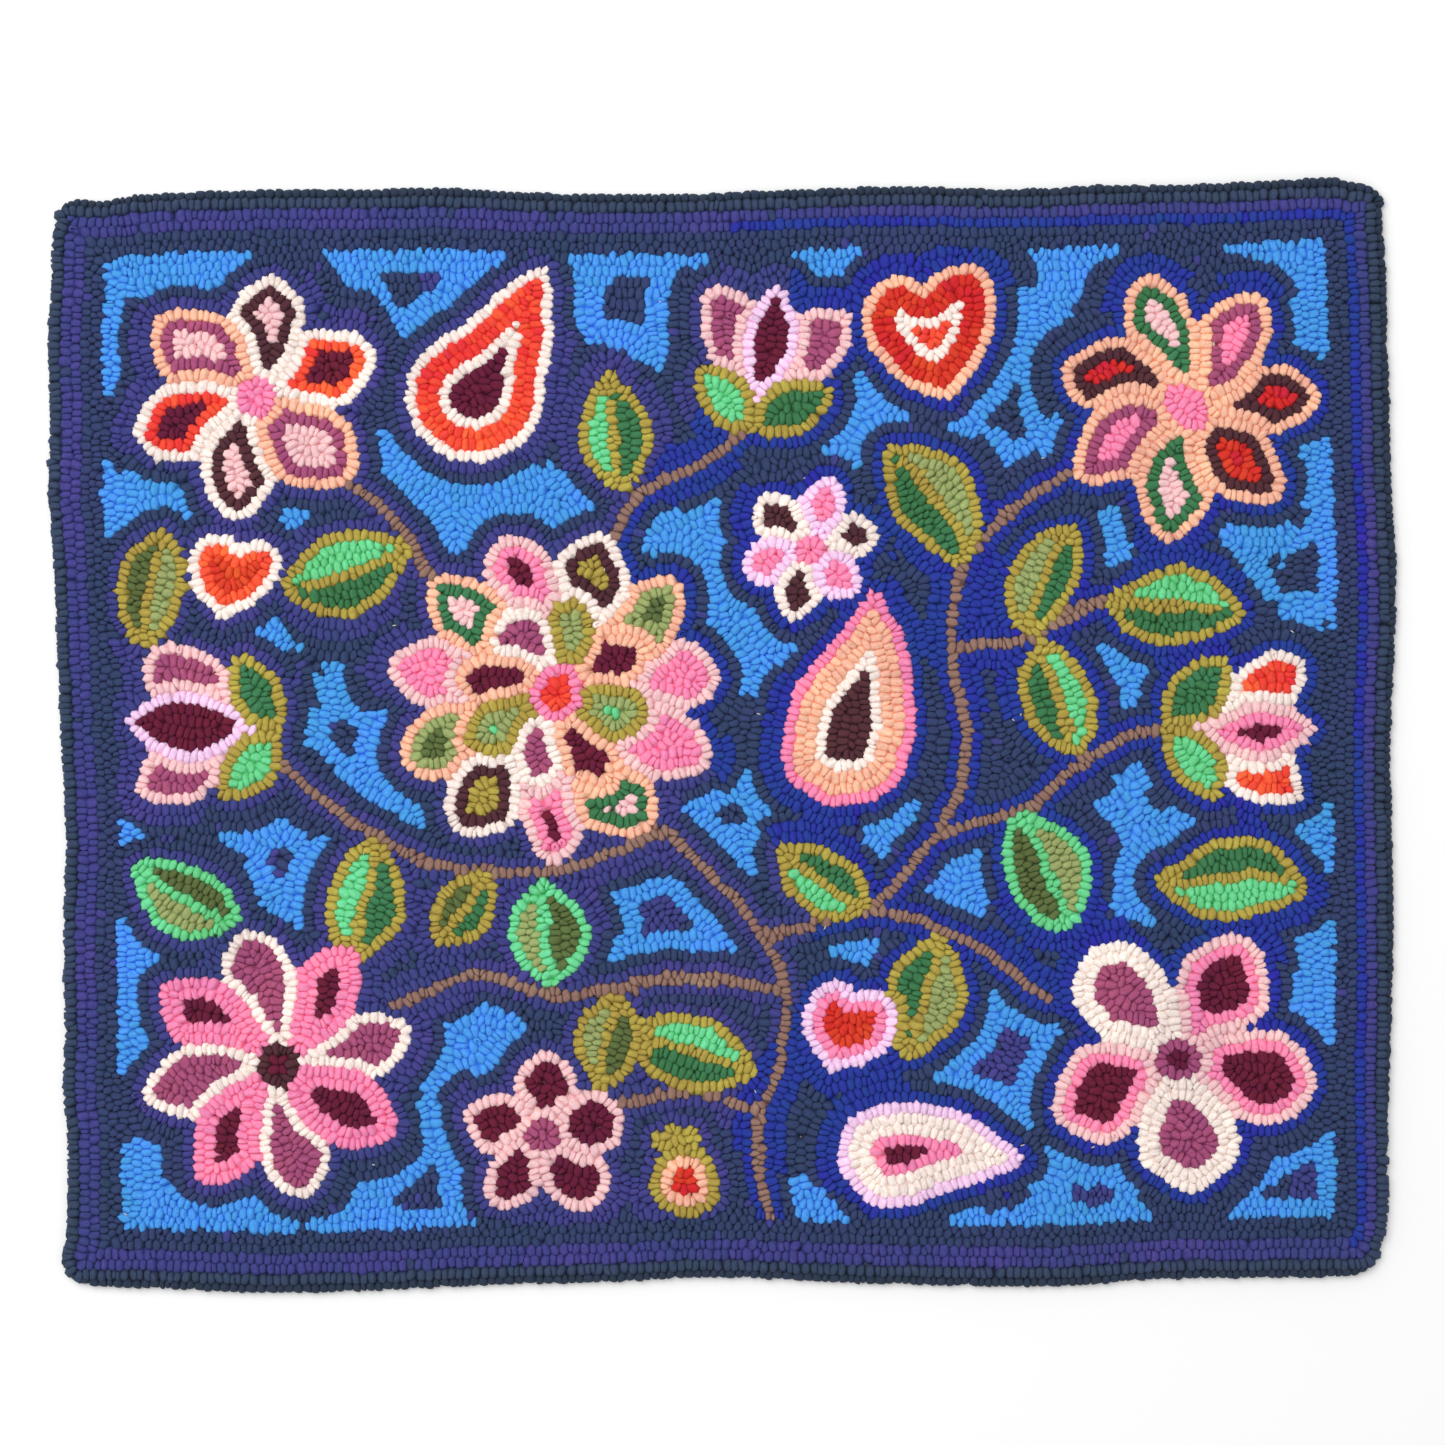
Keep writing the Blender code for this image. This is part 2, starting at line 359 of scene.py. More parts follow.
def heart(x, y, size, angle, *recipe):
    """The curve of the sixth degree that is known as the heart."""
    window, dx, dy = from_place(x, y, HEART_ROOM * size)
    u, v = turned(dx / size, dy / size, angle)
    paint(window, (u * u + v * v - 1) ** 3 - u * u * v ** 3 < 0, recipe)


def cup_flower(x, y, angle, size, side_petal, middle_petal, green_a, green_b):
    """A tulip seen from the side: two outer petals, one inner, and two sepals."""
    for side in (-1, 1):
        petal(x, y, angle + 30 * side, size, 0.5 * size, *side_petal, bend=-0.12 * side)
    petal(x, y, angle, 0.97 * size, 0.45 * size, *middle_petal, tip=0.7)
    turn = math.radians(angle)
    low_x, low_y = x - 0.1 * size * math.cos(turn), y - 0.1 * size * math.sin(turn)
    for side, green in ((-1, green_a), (1, green_b)):
        petal(low_x, low_y, angle + 52 * side, 0.62 * size, 0.38 * size, *green, belly=0.5, tip=0.7)


def pomegranate(x, y, angle, radius, skin, crown):
    """A round fruit with a crown of three short leaves."""
    turn = math.radians(angle)
    top_x, top_y = x + 0.7 * radius * math.cos(turn), y + 0.7 * radius * math.sin(turn)
    for side in (-1, 1, 0):
        petal(top_x, top_y, angle + 34 * side, 0.95 * radius, 0.55 * radius, *crown)
    disc(x, y, radius, *skin)


def smooth_line(points, pieces=16):
    """A smooth curve through the points, as a list of places."""
    p = np.array(points, float)
    p = np.vstack([2 * p[0] - p[1], p, 2 * p[-1] - p[-2]])
    t = (np.arange(pieces) / pieces)[:, None]
    curve = []
    for a, b, c, d in zip(p, p[1:], p[2:], p[3:]):
        curve.append(b + 0.5 * ((c - a) * t + (2 * a - 5 * b + 4 * c - d) * t ** 2
                                + (3 * b - a - 3 * c + d) * t ** 3))
    return np.vstack(curve + [p[-2:-1]])


def stem(points, colour="taupe"):
    """A single row of loops along a curve."""
    path = smooth_line(points)
    window = around(path.min(0) - ROW_PITCH, path.max(0) + ROW_PITCH)
    mask = np.zeros(X[window].shape, bool)
    for a, b in zip(path, path[1:]):
        dx, dy = wavy_x[window] - a[0], wavy_y[window] - a[1]
        run = b - a
        share = np.clip((dx * run[0] + dy * run[1]) / (run @ run), 0, 1)
        mask |= np.hypot(dx - share * run[0], dy - share * run[1]) < ROW_PITCH / 2
    paint(window, mask, (colour,))


# %% [markdown]
# The stems are painted first, then the leaves, then the flowers, so that each one overlaps the last as it
# does in the hooking. Places are in millimetres from the middle of the rug, and angles in degrees.

# %% Stems and leaves
STEMS = [
    [(34, -340), (26, -270), (44, -190), (16, -120), (-40, -70), (-92, -20)],
    [(36, -175), (-40, -165), (-110, -182), (-165, -165), (-225, -185)],
    [(28, -138), (100, -122), (165, -140), (225, -178)],
    [(-40, -70), (-130, -95), (-210, -82), (-275, -45), (-318, -2)],
    [(100, -122), (150, -72), (205, -52), (262, -8), (318, 6)],
    [(150, -72), (168, -10), (158, 60), (168, 120), (215, 165), (250, 190)],
    [(-150, 60), (-195, 100), (-225, 150), (-270, 180)],
    [(-85, 90), (-60, 160), (-10, 190), (22, 212)],
    [(28, -258), (-20, -246), (-70, -252)],
    [(158, 60), (205, 66), (262, 92)],
]
LEAVES = [
    # x, y, angle, length, width, bend, edge, left half, right half
    (20, -232, 158, 92, 56, 0.08, "khaki", "dark_green", "mint"),
    (-72, -176, 262, 70, 48, -0.06, "khaki", "olive", "sage"),
    (-112, -176, 98, 78, 52, 0.06, "mint", "sage", "olive"),
    (150, -138, 252, 88, 54, 0.08, "khaki", "sage", "dark_green"),
    (100, -122, 142, 76, 48, 0.08, "khaki", "mint", "dark_green"),
    (-160, -94, 232, 62, 44, 0.08, "khaki", "dark_green", "olive"),
    (-238, -70, 258, 88, 54, 0.08, "khaki", "dark_green", "mint"),
    (200, -52, 296, 92, 58, 0.08, "mint", "sage", "olive"),
    (216, 66, 292, 84, 52, -0.08, "khaki", "mint", "dark_green"),
    (168, 118, 122, 96, 58, -0.10, "khaki", "dark_green", "sage"),
    (204, 68, 62, 84, 52, 0.08, "khaki", "sage", "dark_green"),
    (262, 92, 352, 96, 58, 0.10, "khaki", "mint", "dark_green"),
    (-212, 128, 196, 96, 58, 0.10, "khaki", "dark_green", "mint"),
    (-64, 166, 100, 84, 50, 0.08, "khaki", "mint", "dark_green"),
    (-398, 60, 78, 84, 52, 0.08, "khaki", "olive", "sage"),
    (300, -100, 358, 100, 60, 0.08, "khaki", "dark_green", "mint"),
    (-404, -88, 330, 84, 52, -0.08, "mint", "olive", "sage"),
]
for points in STEMS:
    stem(points)
for row in LEAVES:
    leaf(*row)
print(len(STEMS), "stems and", len(LEAVES), "leaves")

# %% Flowers and the other motifs
flower(-115, 28, 11, 116, 52, 8, [
    ("pale_pink", "hot_pink", "hot_pink", "maroon"),
    ("peach", "sage", "olive"),
    ("cream", "plum", "khaki"),
    ("pale_pink", "hot_pink", "maroon"),
    ("peach", "dark_green", "pale_pink"),
], belly=0.70, tip=0.6)
flower(-115, 28, 8, 68, 38, 30, [
    ("peach", "maroon"),
    ("khaki", "sage", "mint"),
    ("cream", "mauve"),
], (18, "hot_pink", "orange"), belly=0.66, tip=0.6)
flower(-322, 232, 6, 86, 58, 20, [
    ("cream", "orange", "maroon"),
    ("cream", "plum", "pale_pink"),
    ("peach", "mauve", "pale_pink"),
], (14, "hot_pink"))
flower(318, 226, 7, 92, 52, 5, [
    ("peach", "plum", "red"),
    ("peach", "mauve", "hot_pink"),
    ("peach", "dark_green", "pale_pink"),
], (15, "hot_pink"))
flower(-306, -226, 8, 96, 50, 12, [
    ("cream", "mauve"),
    ("hot_pink", "hot_pink", "maroon"),
], (16, "plum", "maroon"))
flower(314, -222, 5, 96, 66, 60, [
    ("pale_pink", "hot_pink", "maroon"),
    ("cream", "cream", "mauve"),
], (15, "mauve", "maroon"))
flower(-122, -276, 5, 60, 44, 90, [("pale_pink", "maroon")], (11, "mauve"))
flower(60, 128, 6, 50, 34, 15, [("cream", "plum"), ("lilac_pink", "hot_pink")], (11, "hot_pink"))
cup_flower(-312, 2, 176, 100, ("pale_pink", "mauve"), ("lilac_pink", "maroon"),
           ("khaki", "dark_green"), ("khaki", "mint"))
cup_flower(316, 6, 358, 96, ("cream", "orange"), ("pale_pink", "hot_pink", "maroon"),
           ("khaki", "mint"), ("khaki", "dark_green"))
cup_flower(24, 218, 80, 96, ("pale_pink", "mauve"), ("lilac_pink", "maroon"),
           ("khaki", "dark_green"), ("khaki", "mint"))
paisley(-204, 200, 42, 140, 94, 0.24, "cream", "orange", "orange", "cream", "maroon")
paisley(78, -298, 16, 128, 76, -0.24, "lilac_pink", "cream", "cream", "hot_pink", "maroon")
paisley(60, -44, 58, 146, 90, 0.24, "hot_pink", "peach", "peach", "cream", "plum")
heart(146, 268, 42, 12, "peach", "red", "red", "cream", "orange")
heart(-338, 104, 27, -12, "cream", "orange", "red")
heart(84, -206, 28, -14, "lilac_pink", "hot_pink", "red")
pomegranate(-26, -308, 100, 25, ("khaki", "peach", "red"), ("khaki", "mint"))
print(len(recipes) - 1, "painted parts")

# %% [markdown]
# ## Rows from every edge
#
# Inside each part the rows run parallel to its outline, and in the ground they run parallel to whatever
# motif or border is nearest. The row number of a cell is its distance from that edge over the row pitch.

# %% Row numbers
BORDER_PART = -1
part_of[~in_field] = BORDER_PART
outline_of[~in_field] = BORDER_PART


def at_changes(numbers):
    """Marks the cells on both sides of every change of number."""
    marked = np.zeros(numbers.shape, bool)
    upright = numbers[1:] != numbers[:-1]
    marked[1:] |= upright
    marked[:-1] |= upright
    level = numbers[:, 1:] != numbers[:, :-1]
    marked[:, 1:] |= level
    marked[:, :-1] |= level
    return marked


in_part = distance_to(at_changes(part_of)) + CELL / 2
in_outline = distance_to(at_changes(outline_of)) + CELL / 2
row_of = np.where(in_field, in_part / ROW_PITCH, from_rim / np.where(from_rim < 0, EDGE_ROW, BORDER_PITCH))
colour_row = np.floor(in_outline / ROW_PITCH).astype(int)

# %% Colour every cell
colour_of = np.full(X.shape, -1)
for number, recipe in enumerate(recipes):
    if not recipe:
        continue
    cells = part_of == number
    for row, colour in enumerate(recipe):
        last = row == len(recipe) - 1
        here = cells & ((colour_row >= row) if last else (colour_row == row))
        if isinstance(colour, tuple):
            colour_of[here & (side_of_rib > 0)] = COLOUR_NUMBER[colour[0]]
            colour_of[here & (side_of_rib <= 0)] = COLOUR_NUMBER[colour[1]]
        else:
            colour_of[here] = COLOUR_NUMBER[colour]

# %% [markdown]
# ## The ground
#
# Each motif has a halo of one or two rows of purple or royal, then one or two rows of navy. Where room is
# left, the gap is filled with bright blue, and a wide gap has navy or purple again in its middle.

# %% Colour the ground
HALO_DOUBLES, NAVY_DOUBLES = 0.35, 0.45
LEAST_SKY, NEAR_SKY = 0.55, 1.5
LEAST_ISLAND, NEAR_ISLAND = 0.7, 1.6
HALO_SWAY = 60
SKY_ROWS, SKY_MORE, SKY_WIDENS = 1.7, 0.5, 0.1
ground = in_field & (part_of == GROUND)
to_motif = distance_to(part_of > GROUND)
halo_width = ROW_PITCH * (1 + (waves(11, 190) > HALO_DOUBLES))
navy_width = ROW_PITCH * (1 + (waves(12, 210) > NAVY_DOUBLES))
goes_royal = X + HALO_SWAY * waves(14, 300) > 0
halo_colour = np.where(goes_royal, COLOUR_NUMBER["royal"], COLOUR_NUMBER["purple"])
colour_of[ground] = COLOUR_NUMBER["navy"]
halo = ground & (to_motif < halo_width)
colour_of[halo] = halo_colour[halo]
room = box_blur(np.minimum(to_motif - halo_width - navy_width, from_rim - BORDER), 2)
wide_enough = distance_to(room > LEAST_SKY * ROW_PITCH) < NEAR_SKY * ROW_PITCH
colour_of[ground & (room > 0) & wide_enough & ~halo] = COLOUR_NUMBER["sky"]
sky_width = ROW_PITCH * (SKY_ROWS + SKY_MORE * (waves(13, 160) > SKY_WIDENS))
island = ground & (room > sky_width)
island &= distance_to(room > sky_width + LEAST_ISLAND * ROW_PITCH) < NEAR_ISLAND * ROW_PITCH
colour_of[island] = np.where(waves(15, 200) > 0, COLOUR_NUMBER["navy"], COLOUR_NUMBER["purple"])[island]

# %% Colour the border
border = pile_area & ~in_field
border_row = np.floor(from_rim / BORDER_PITCH)
to_right = cad_box[1][0] / MM - X
to_top = cad_box[1][1] / MM - Y
to_left_or_bottom = np.minimum(X - cad_box[0][0] / MM, Y - cad_box[0][1] / MM)
on_right = (to_right < to_top) & (to_right < to_left_or_bottom)
on_top = (to_top <= to_right) & (to_top < to_left_or_bottom)
ROYAL_FROM = 5
colour_of[border & (border_row < 2)] = COLOUR_NUMBER["purple"]
colour_of[border & (border_row >= 2)] = COLOUR_NUMBER["navy"]
colour_of[border & (border_row == 1) & (on_right | (on_top & (X > ROYAL_FROM)))] = COLOUR_NUMBER["royal"]
colour_of[in_edge_row] = COLOUR_NUMBER["edge_navy"]

for name, number in COLOUR_NUMBER.items():
    print(f"{name}: {100 * (colour_of == number).sum() / pile_area.sum():.1f}% of the pile")

# %% [markdown]
# ## Settling the loops
#
# A hooker places each loop by eye, close to the last one and square across the row. The script does it in
# two steps. Seeds are set along the middle line of every row, one strip's width apart. Then each seed moves
# a little towards the middle of the cells that are nearest to it, again and again. This is Lloyd's method,
# and it leaves the rows close and slightly uneven, as a hand does.

# %% The direction of every loop
rise_y, rise_x = np.gradient(box_blur(row_of, 1))
slope = np.hypot(rise_x, rise_y) + 1e-9
double_cos = box_blur((rise_x ** 2 - rise_y ** 2) / slope, 3)
double_sin = box_blur(2 * rise_x * rise_y / slope, 3)
lie = 0.5 * np.arctan2(double_sin, double_cos)
pitch_of = np.where(in_field, ROW_PITCH, np.where(from_rim < 0, EDGE_ROW, BORDER_PITCH))
step_of = np.where(in_field, LOOP_STEP, BORDER_STEP)


# %% Lines of one height on the grid
def level_lines(values, level):
    """The lines along which the values cross a level, as chains of places in cells."""
    high = values > level
    across, upright = high[:, 1:] != high[:, :-1], high[1:, :] != high[:-1, :]
    across_number = np.full(across.shape, -1)
    across_y, across_x = np.nonzero(across)
    across_number[across_y, across_x] = np.arange(len(across_x))
    upright_number = np.full(upright.shape, -1)
    upright_y, upright_x = np.nonzero(upright)
    upright_number[upright_y, upright_x] = np.arange(len(upright_x)) + len(across_x)
    a, b = values[across_y, across_x], values[across_y, across_x + 1]
    on_across = np.stack([across_x + (level - a) / (b - a), across_y.astype(float)], 1)
    a, b = values[upright_y, upright_x], values[upright_y + 1, upright_x]
    on_upright = np.stack([upright_x.astype(float), upright_y + (level - a) / (b - a)], 1)
    places = np.concatenate([on_across, on_upright])
    sides = np.stack([across_number[:-1], upright_number[:, 1:],
                      across_number[1:], upright_number[:, :-1]], 2)
    count = (sides >= 0).sum(2)
    two, four = sides[count == 2], sides[count == 4]
    order = np.argsort(two < 0, axis=1, kind="stable")[:, :2]
    links = np.concatenate([np.take_along_axis(two, order, 1), four[:, :2], four[:, 2:]])
    joined = [[] for _ in places]
    for p, q in links.tolist():
        if len(joined[p]) < 2 and len(joined[q]) < 2:
            joined[p].append(q)
            joined[q].append(p)
    seen = [False] * len(places)
    chains = []
    for start in [n for n, ends in enumerate(joined) if len(ends) == 1] + list(range(len(places))):
        if seen[start]:
            continue
        chain = [start]
        seen[start] = True
        while True:
            further = [n for n in joined[chain[-1]] if not seen[n]]
            if not further:
                break
            chain.append(further[0])
            seen[further[0]] = True
        if len(chain) > 3 and start in joined[chain[-1]]:
            chain.append(start)
        chains.append(places[chain])
    return chains


def spaced(path, spacing):
    """Places along a line, evenly spaced and half a space from its ends."""
    lengths = np.hypot(*np.diff(path, axis=0).T)
    total = lengths.sum()
    count = max(1, int(round(total / spacing)))
    run = np.concatenate([[0], np.cumsum(lengths)])
    at = (np.arange(count) + 0.5) * total / count
    return np.stack([np.interp(at, run, path[:, 0]), np.interp(at, run, path[:, 1])], 1)


# %% Seeds along the rows
SEED_UNEVENNESS = 0.5
draw = np.random.default_rng(7)
seeds = []
for row_number in np.arange(-1, int(row_of.max()) + 1):
    for chain in level_lines(row_of, row_number + 0.5):
        column, row = np.rint(chain).astype(int).T
        seeds.append(spaced(chain * CELL, np.median(step_of[row, column])))
seeds = np.concatenate(seeds)
seeds += draw.normal(0, SEED_UNEVENNESS, seeds.shape)
print(len(seeds), "seeds on the rows")

# %% Which loop is nearest
NEAR = 9
window_x, window_y = np.meshgrid(np.arange(-NEAR, NEAR + 1), np.arange(-NEAR, NEAR + 1))
in_circle = np.hypot(window_x, window_y) <= NEAR + 0.5
window_x, window_y = window_x[in_circle], window_y[in_circle]
NO_LOOP = 1 << 60
LOOP_BITS = 20
COST_SCALE = 1e5
HIGHEST_COST = 30.0
BATCH = 4000


def nearest_loop(places):
    """The nearest loop of each cell's own colour, and how near it is, counted in strips and rows."""
    column, row = cell_at(places)
    cos, sin = np.cos(lie[row, column]), np.sin(lie[row, column])
    pitch, step, colour = pitch_of[row, column], step_of[row, column], colour_of[row, column]
    best = np.full(X.size, NO_LOOP, np.int64)
    for low in range(0, len(places), BATCH):
        s = np.s_[low:low + BATCH]
        x, y = column[s, None] + window_x, row[s, None] + window_y
        good = (x >= 0) & (x < GRID_WIDE) & (y >= 0) & (y < GRID_HIGH)
        x, y = np.clip(x, 0, GRID_WIDE - 1), np.clip(y, 0, GRID_HIGH - 1)
        good &= colour_of[y, x] == colour[s, None]
        dx, dy = (x - places[s, 0, None]) * CELL, (y - places[s, 1, None]) * CELL
        across_row = (dx * cos[s, None] + dy * sin[s, None]) / pitch[s, None]
        along_row = (dy * cos[s, None] - dx * sin[s, None]) / step[s, None]
        cost = np.minimum(across_row ** 2 + along_row ** 2, HIGHEST_COST) * COST_SCALE
        key = (cost.astype(np.int64) << LOOP_BITS) + np.arange(low, low + len(x))[:, None]
        np.minimum.at(best, (y * GRID_WIDE + x)[good], key[good])
    owner = np.where(best == NO_LOOP, -1, best & ((1 << LOOP_BITS) - 1))
    return owner, (best >> LOOP_BITS) / COST_SCALE


# %% Let the loops settle
SETTLING_ROUNDS = 9
FILLING_ROUNDS = 5
THINNING_ROUNDS = (1, 3, 5, 6)
SETTLING_SHARE = 0.75
BARE_COST = 0.62
BLOCK = 6
FILLER_GAP_SQUARED = 30
FILLERS_COMPARED = 400
THINNING_SQUARE = 9
LEAST_SHARE, FEW_SHARE = 0.28, 0.5
LOOP_AREA = LOOP_STEP * ROW_PITCH
to_hook = (colour_of >= 0).ravel()
cell_x, cell_y = np.meshgrid(np.arange(GRID_WIDE), np.arange(GRID_HIGH))
cell_x, cell_y = cell_x.ravel(), cell_y.ravel()


def with_fillers(places, cost):
    """Adds a loop in the middle of each bare spot."""
    bare = np.nonzero(to_hook & (cost > BARE_COST))[0]
    bare = bare[np.argsort(-cost[bare], kind="stable")]
    block = (cell_y[bare] // BLOCK) * GRID_WIDE + cell_x[bare] // BLOCK
    _, first = np.unique(block, return_index=True)
    kept = []
    for spot in bare[np.sort(first)]:
        x, y = int(cell_x[spot]), int(cell_y[spot])
        if all((x - p) ** 2 + (y - q) ** 2 > FILLER_GAP_SQUARED for p, q in kept[-FILLERS_COMPARED:]):
            kept.append((x, y))
    return np.concatenate([places, np.array(kept, float).reshape(-1, 2)])


def thinned(places, area):
    """Takes out loops that are squeezed to little, one from each small neighbourhood."""
    keep = np.ones(len(places), bool)
    taken = set()
    for number in np.argsort(area, kind="stable"):
        if area[number] >= FEW_SHARE * LOOP_AREA:
            break
        square = tuple((places[number] // THINNING_SQUARE).astype(int))
        if area[number] < LEAST_SHARE * LOOP_AREA or square not in taken:
            keep[number] = False
            taken.add(square)
    return places[keep]


places = seeds
column, row = cell_at(places)
places = places[colour_of[row, column] >= 0]
for settling in range(SETTLING_ROUNDS):
    owner, cost = nearest_loop(places)
    if settling < FILLING_ROUNDS:
        places = with_fillers(places, cost)
        owner, cost = nearest_loop(places)
    held = owner >= 0
    area = np.bincount(owner[held], minlength=len(places))
    middle_x = np.bincount(owner[held], cell_x[held], len(places)) / np.maximum(area, 1)
    middle_y = np.bincount(owner[held], cell_y[held], len(places)) / np.maximum(area, 1)
    moved = places + SETTLING_SHARE * (np.stack([middle_x, middle_y], 1) - places)
    places = np.where(area[:, None] > 0, moved, places)
    if settling in THINNING_ROUNDS:
        places = thinned(places, area)
    print("Round", settling + 1, "leaves", len(places), "loops")
owner, _ = nearest_loop(places)
area = np.bincount(owner[owner >= 0], minlength=len(places))
places = places[area > LEAST_SHARE * LOOP_AREA]

# %% Facts of each loop
column, row = cell_at(places)
loop_at = in_millimetres(places)
loop_colour = colour_of[row, column]
loop_in_border = ~in_field[row, column]
loop_on_edge = in_edge_row[row, column]
loop_pitch = pitch_of[row, column]
loop_step = step_of[row, column]
TURN_UNEVENNESS = 0.20
SIZE_UNEVENNESS = 0.10
TONE_OF_LOOP, TONE_OF_PLACE = 0.8, 1.1
loop_turn = lie[row, column] + draw.normal(0, TURN_UNEVENNESS, len(places))
loop_size = 1 + draw.normal(0, SIZE_UNEVENNESS, len(places))
loop_tone = TONE_OF_LOOP * draw.normal(0, 1, len(places)) + TONE_OF_PLACE * waves(17, 110)[row, column]
STRAY_SHARE = 0.012
DARK_BLUES = [COLOUR_NUMBER["navy"], COLOUR_NUMBER["purple"]]
is_stray = (draw.random(len(places)) < STRAY_SHARE) & np.isin(loop_colour, DARK_BLUES)
loop_colour[is_stray] = sum(DARK_BLUES) - loop_colour[is_stray]
print(len(places), "loops,", int(loop_in_border.sum()), "of them in the border")
print(int(is_stray.sum()), "stray loops of the other dark blue")

# %% [markdown]
# ## The shape of a loop
#
# Soft loops press against each other until no gap is left, so each one ends where its neighbour's begins.
# Seen from above they are rounded polygons that lock into each other in a zigzag. To get that shape, rays
# go out from each loop's middle, and each ray stops at the line where a neighbour is just as near. Distances
# are again counted in strips and rows, which makes a loop longer across its row than along it. No ray lies
# on the loop's own length and none is much longer than the two beside it, so the loop's ends stay blunt.

# %% Neighbours of each loop
BIN = 9.0
NEIGHBOURS = 14
bin_x = ((loop_at[:, 0] - loop_at[:, 0].min()) // BIN).astype(int) + 1
bin_y = ((loop_at[:, 1] - loop_at[:, 1].min()) // BIN).astype(int) + 1
bins_wide = bin_x.max() + 2
bin_number = bin_y * bins_wide + bin_x
by_bin = np.argsort(bin_number, kind="stable")
counts = np.bincount(bin_number, minlength=bins_wide * (bin_y.max() + 2))
starts = np.cumsum(counts) - counts
in_bin = np.full((len(counts), counts.max()), -1)
in_bin[bin_number[by_bin], np.arange(len(by_bin)) - starts[bin_number[by_bin]]] = by_bin
shifts = [dy * bins_wide + dx for dy in (-1, 0, 1) for dx in (-1, 0, 1)]
candidates = np.concatenate([in_bin[bin_number + shift] for shift in shifts], 1)
gap = loop_at[candidates] - loop_at[:, None]
distance = np.hypot(gap[..., 0], gap[..., 1])
distance[(candidates < 0) | (distance == 0)] = FAR_AWAY
nearest = np.argpartition(distance, NEIGHBOURS, axis=1)[:, :NEIGHBOURS]
neighbour = np.take_along_axis(candidates, nearest, 1)
neighbour_far = np.take_along_axis(distance, nearest, 1) >= FAR_AWAY
cos, sin = np.cos(loop_turn), np.sin(loop_turn)
along_strip = np.stack([cos, sin], 1)
across_strip = np.stack([-sin, cos], 1)

# %% [markdown]
# A soft loop also slips along its row until its end rests in the gap between two loops of the next row.
# Each round below measures how its neighbours lie and moves every loop a little that way, while the spacing
# within its own row is kept. A last small shift for each loop keeps the rows from looking machine-made.

# %% Let the ends interlock
SLIPPING_ROUNDS = 6
SLIP, EVEN = 0.10, 0.30
LONGEST_SLIP = 0.15
NEXT_ROW_SPREAD, SAME_ROW_SPREAD = 0.3, 0.35
BESIDE = 1.5
SHIFT_UNEVENNESS = 0.28
for _ in range(SLIPPING_ROUNDS):
    gap = loop_at[neighbour] - loop_at[:, None]
    rows_off = np.abs(np.einsum("nmi,ni->nm", gap, along_strip)) / loop_pitch[:, None]
    steps_off = np.einsum("nmi,ni->nm", gap, across_strip) / loop_step[:, None]
    next_row = np.exp(-((rows_off - 1) / NEXT_ROW_SPREAD) ** 2 - steps_off ** 2)
    same_row = np.exp(-(rows_off / SAME_ROW_SPREAD) ** 2) * (np.abs(steps_off) < BESIDE)
    slip = (-SLIP * next_row * np.sin(2 * math.pi * steps_off)).sum(1)
    slip += (EVEN * same_row * (steps_off - np.sign(steps_off))).sum(1)
    slip = np.clip(slip, -LONGEST_SLIP, LONGEST_SLIP)
    loop_at = loop_at + (slip * loop_step)[:, None] * across_strip
loop_at = loop_at + draw.normal(0, SHIFT_UNEVENNESS, loop_at.shape)
print("Each loop has slipped", SLIPPING_ROUNDS, "times")

# %% How far each loop reaches
RAY_TURNS = np.radians([30, 68, 112, 150, 210, 248, 292, 330])
RAYS = len(RAY_TURNS)
RAY_UNEVENNESS = 0.12
WIDEST, WIDEST_ON_EDGE = 1.6, 1.12
BLUNTEST = 1.04


def outer(directions):
    """Each direction times itself, as a matrix."""
    return directions[:, :, None] * directions[:, None, :]


pitch, step, grown = (sizes[:, None, None] for sizes in (loop_pitch, loop_step, loop_size))
stretch = (outer(along_strip) / pitch ** 2 + outer(across_strip) / step ** 2) / grown ** 2
ray_start = draw.normal(0, RAY_UNEVENNESS, len(loop_at))
ray_turn = ray_start[:, None] + RAY_TURNS
ray = (0.5 * pitch * np.cos(ray_turn)[..., None] * along_strip[:, None]
       + 0.5 * step * np.sin(ray_turn)[..., None] * across_strip[:, None])
to_neighbour = loop_at[neighbour] - loop_at[:, None]
theirs = stretch[neighbour]
own_cost = np.einsum("nki,nij,nkj->nk", ray, stretch, ray)[..., None]
their_ray = np.einsum("nki,nmij->nkmj", ray, theirs)
their_cost = np.einsum("nkmj,nkj->nkm", their_ray, ray)
toward = np.einsum("nkmj,nmj->nkm", their_ray, to_neighbour)
away = np.einsum("nmi,nmij,nmj->nm", to_neighbour, theirs, to_neighbour)[:, None]
root = toward + np.sqrt(np.maximum(toward ** 2 + (own_cost - their_cost) * away, 0))
reach = np.where(root > 1e-6, away / np.maximum(root, 1e-6), FAR_AWAY)
reach[np.broadcast_to(neighbour_far[:, None], reach.shape)] = FAR_AWAY
widest = np.where(loop_on_edge, WIDEST_ON_EDGE, WIDEST)[:, None]
is_free = reach.min(2) >= widest
root_reach = np.minimum(reach.min(2), widest)
reach_beside = (np.roll(root_reach, 1, 1) + np.roll(root_reach, -1, 1)) / 2
reach = np.minimum(root_reach, BLUNTEST * reach_beside)
print("Loops reach", round(float(reach.mean()), 2), "of their nominal half size on average")

# %% [markdown]
# ## Meshes of many loops
#
# One object for each loop would be slow, so the loops of one jersey are joined in one mesh. Each loop is
# three rings of points and a top: the lowest ring is deep in the crease, and the next two round it over.
# These two stand further out at the loop's ends than at its flanks, which keeps the ends blunt and full.
# The crease is deep along the loop's flanks, where the strip goes down on both sides, and shallow at its
# ends, which lean on the next row. Where no loop stands beside it, a loop comes down all the way.
# The points of all loops are worked out together as arrays, and given to Blender in one call.

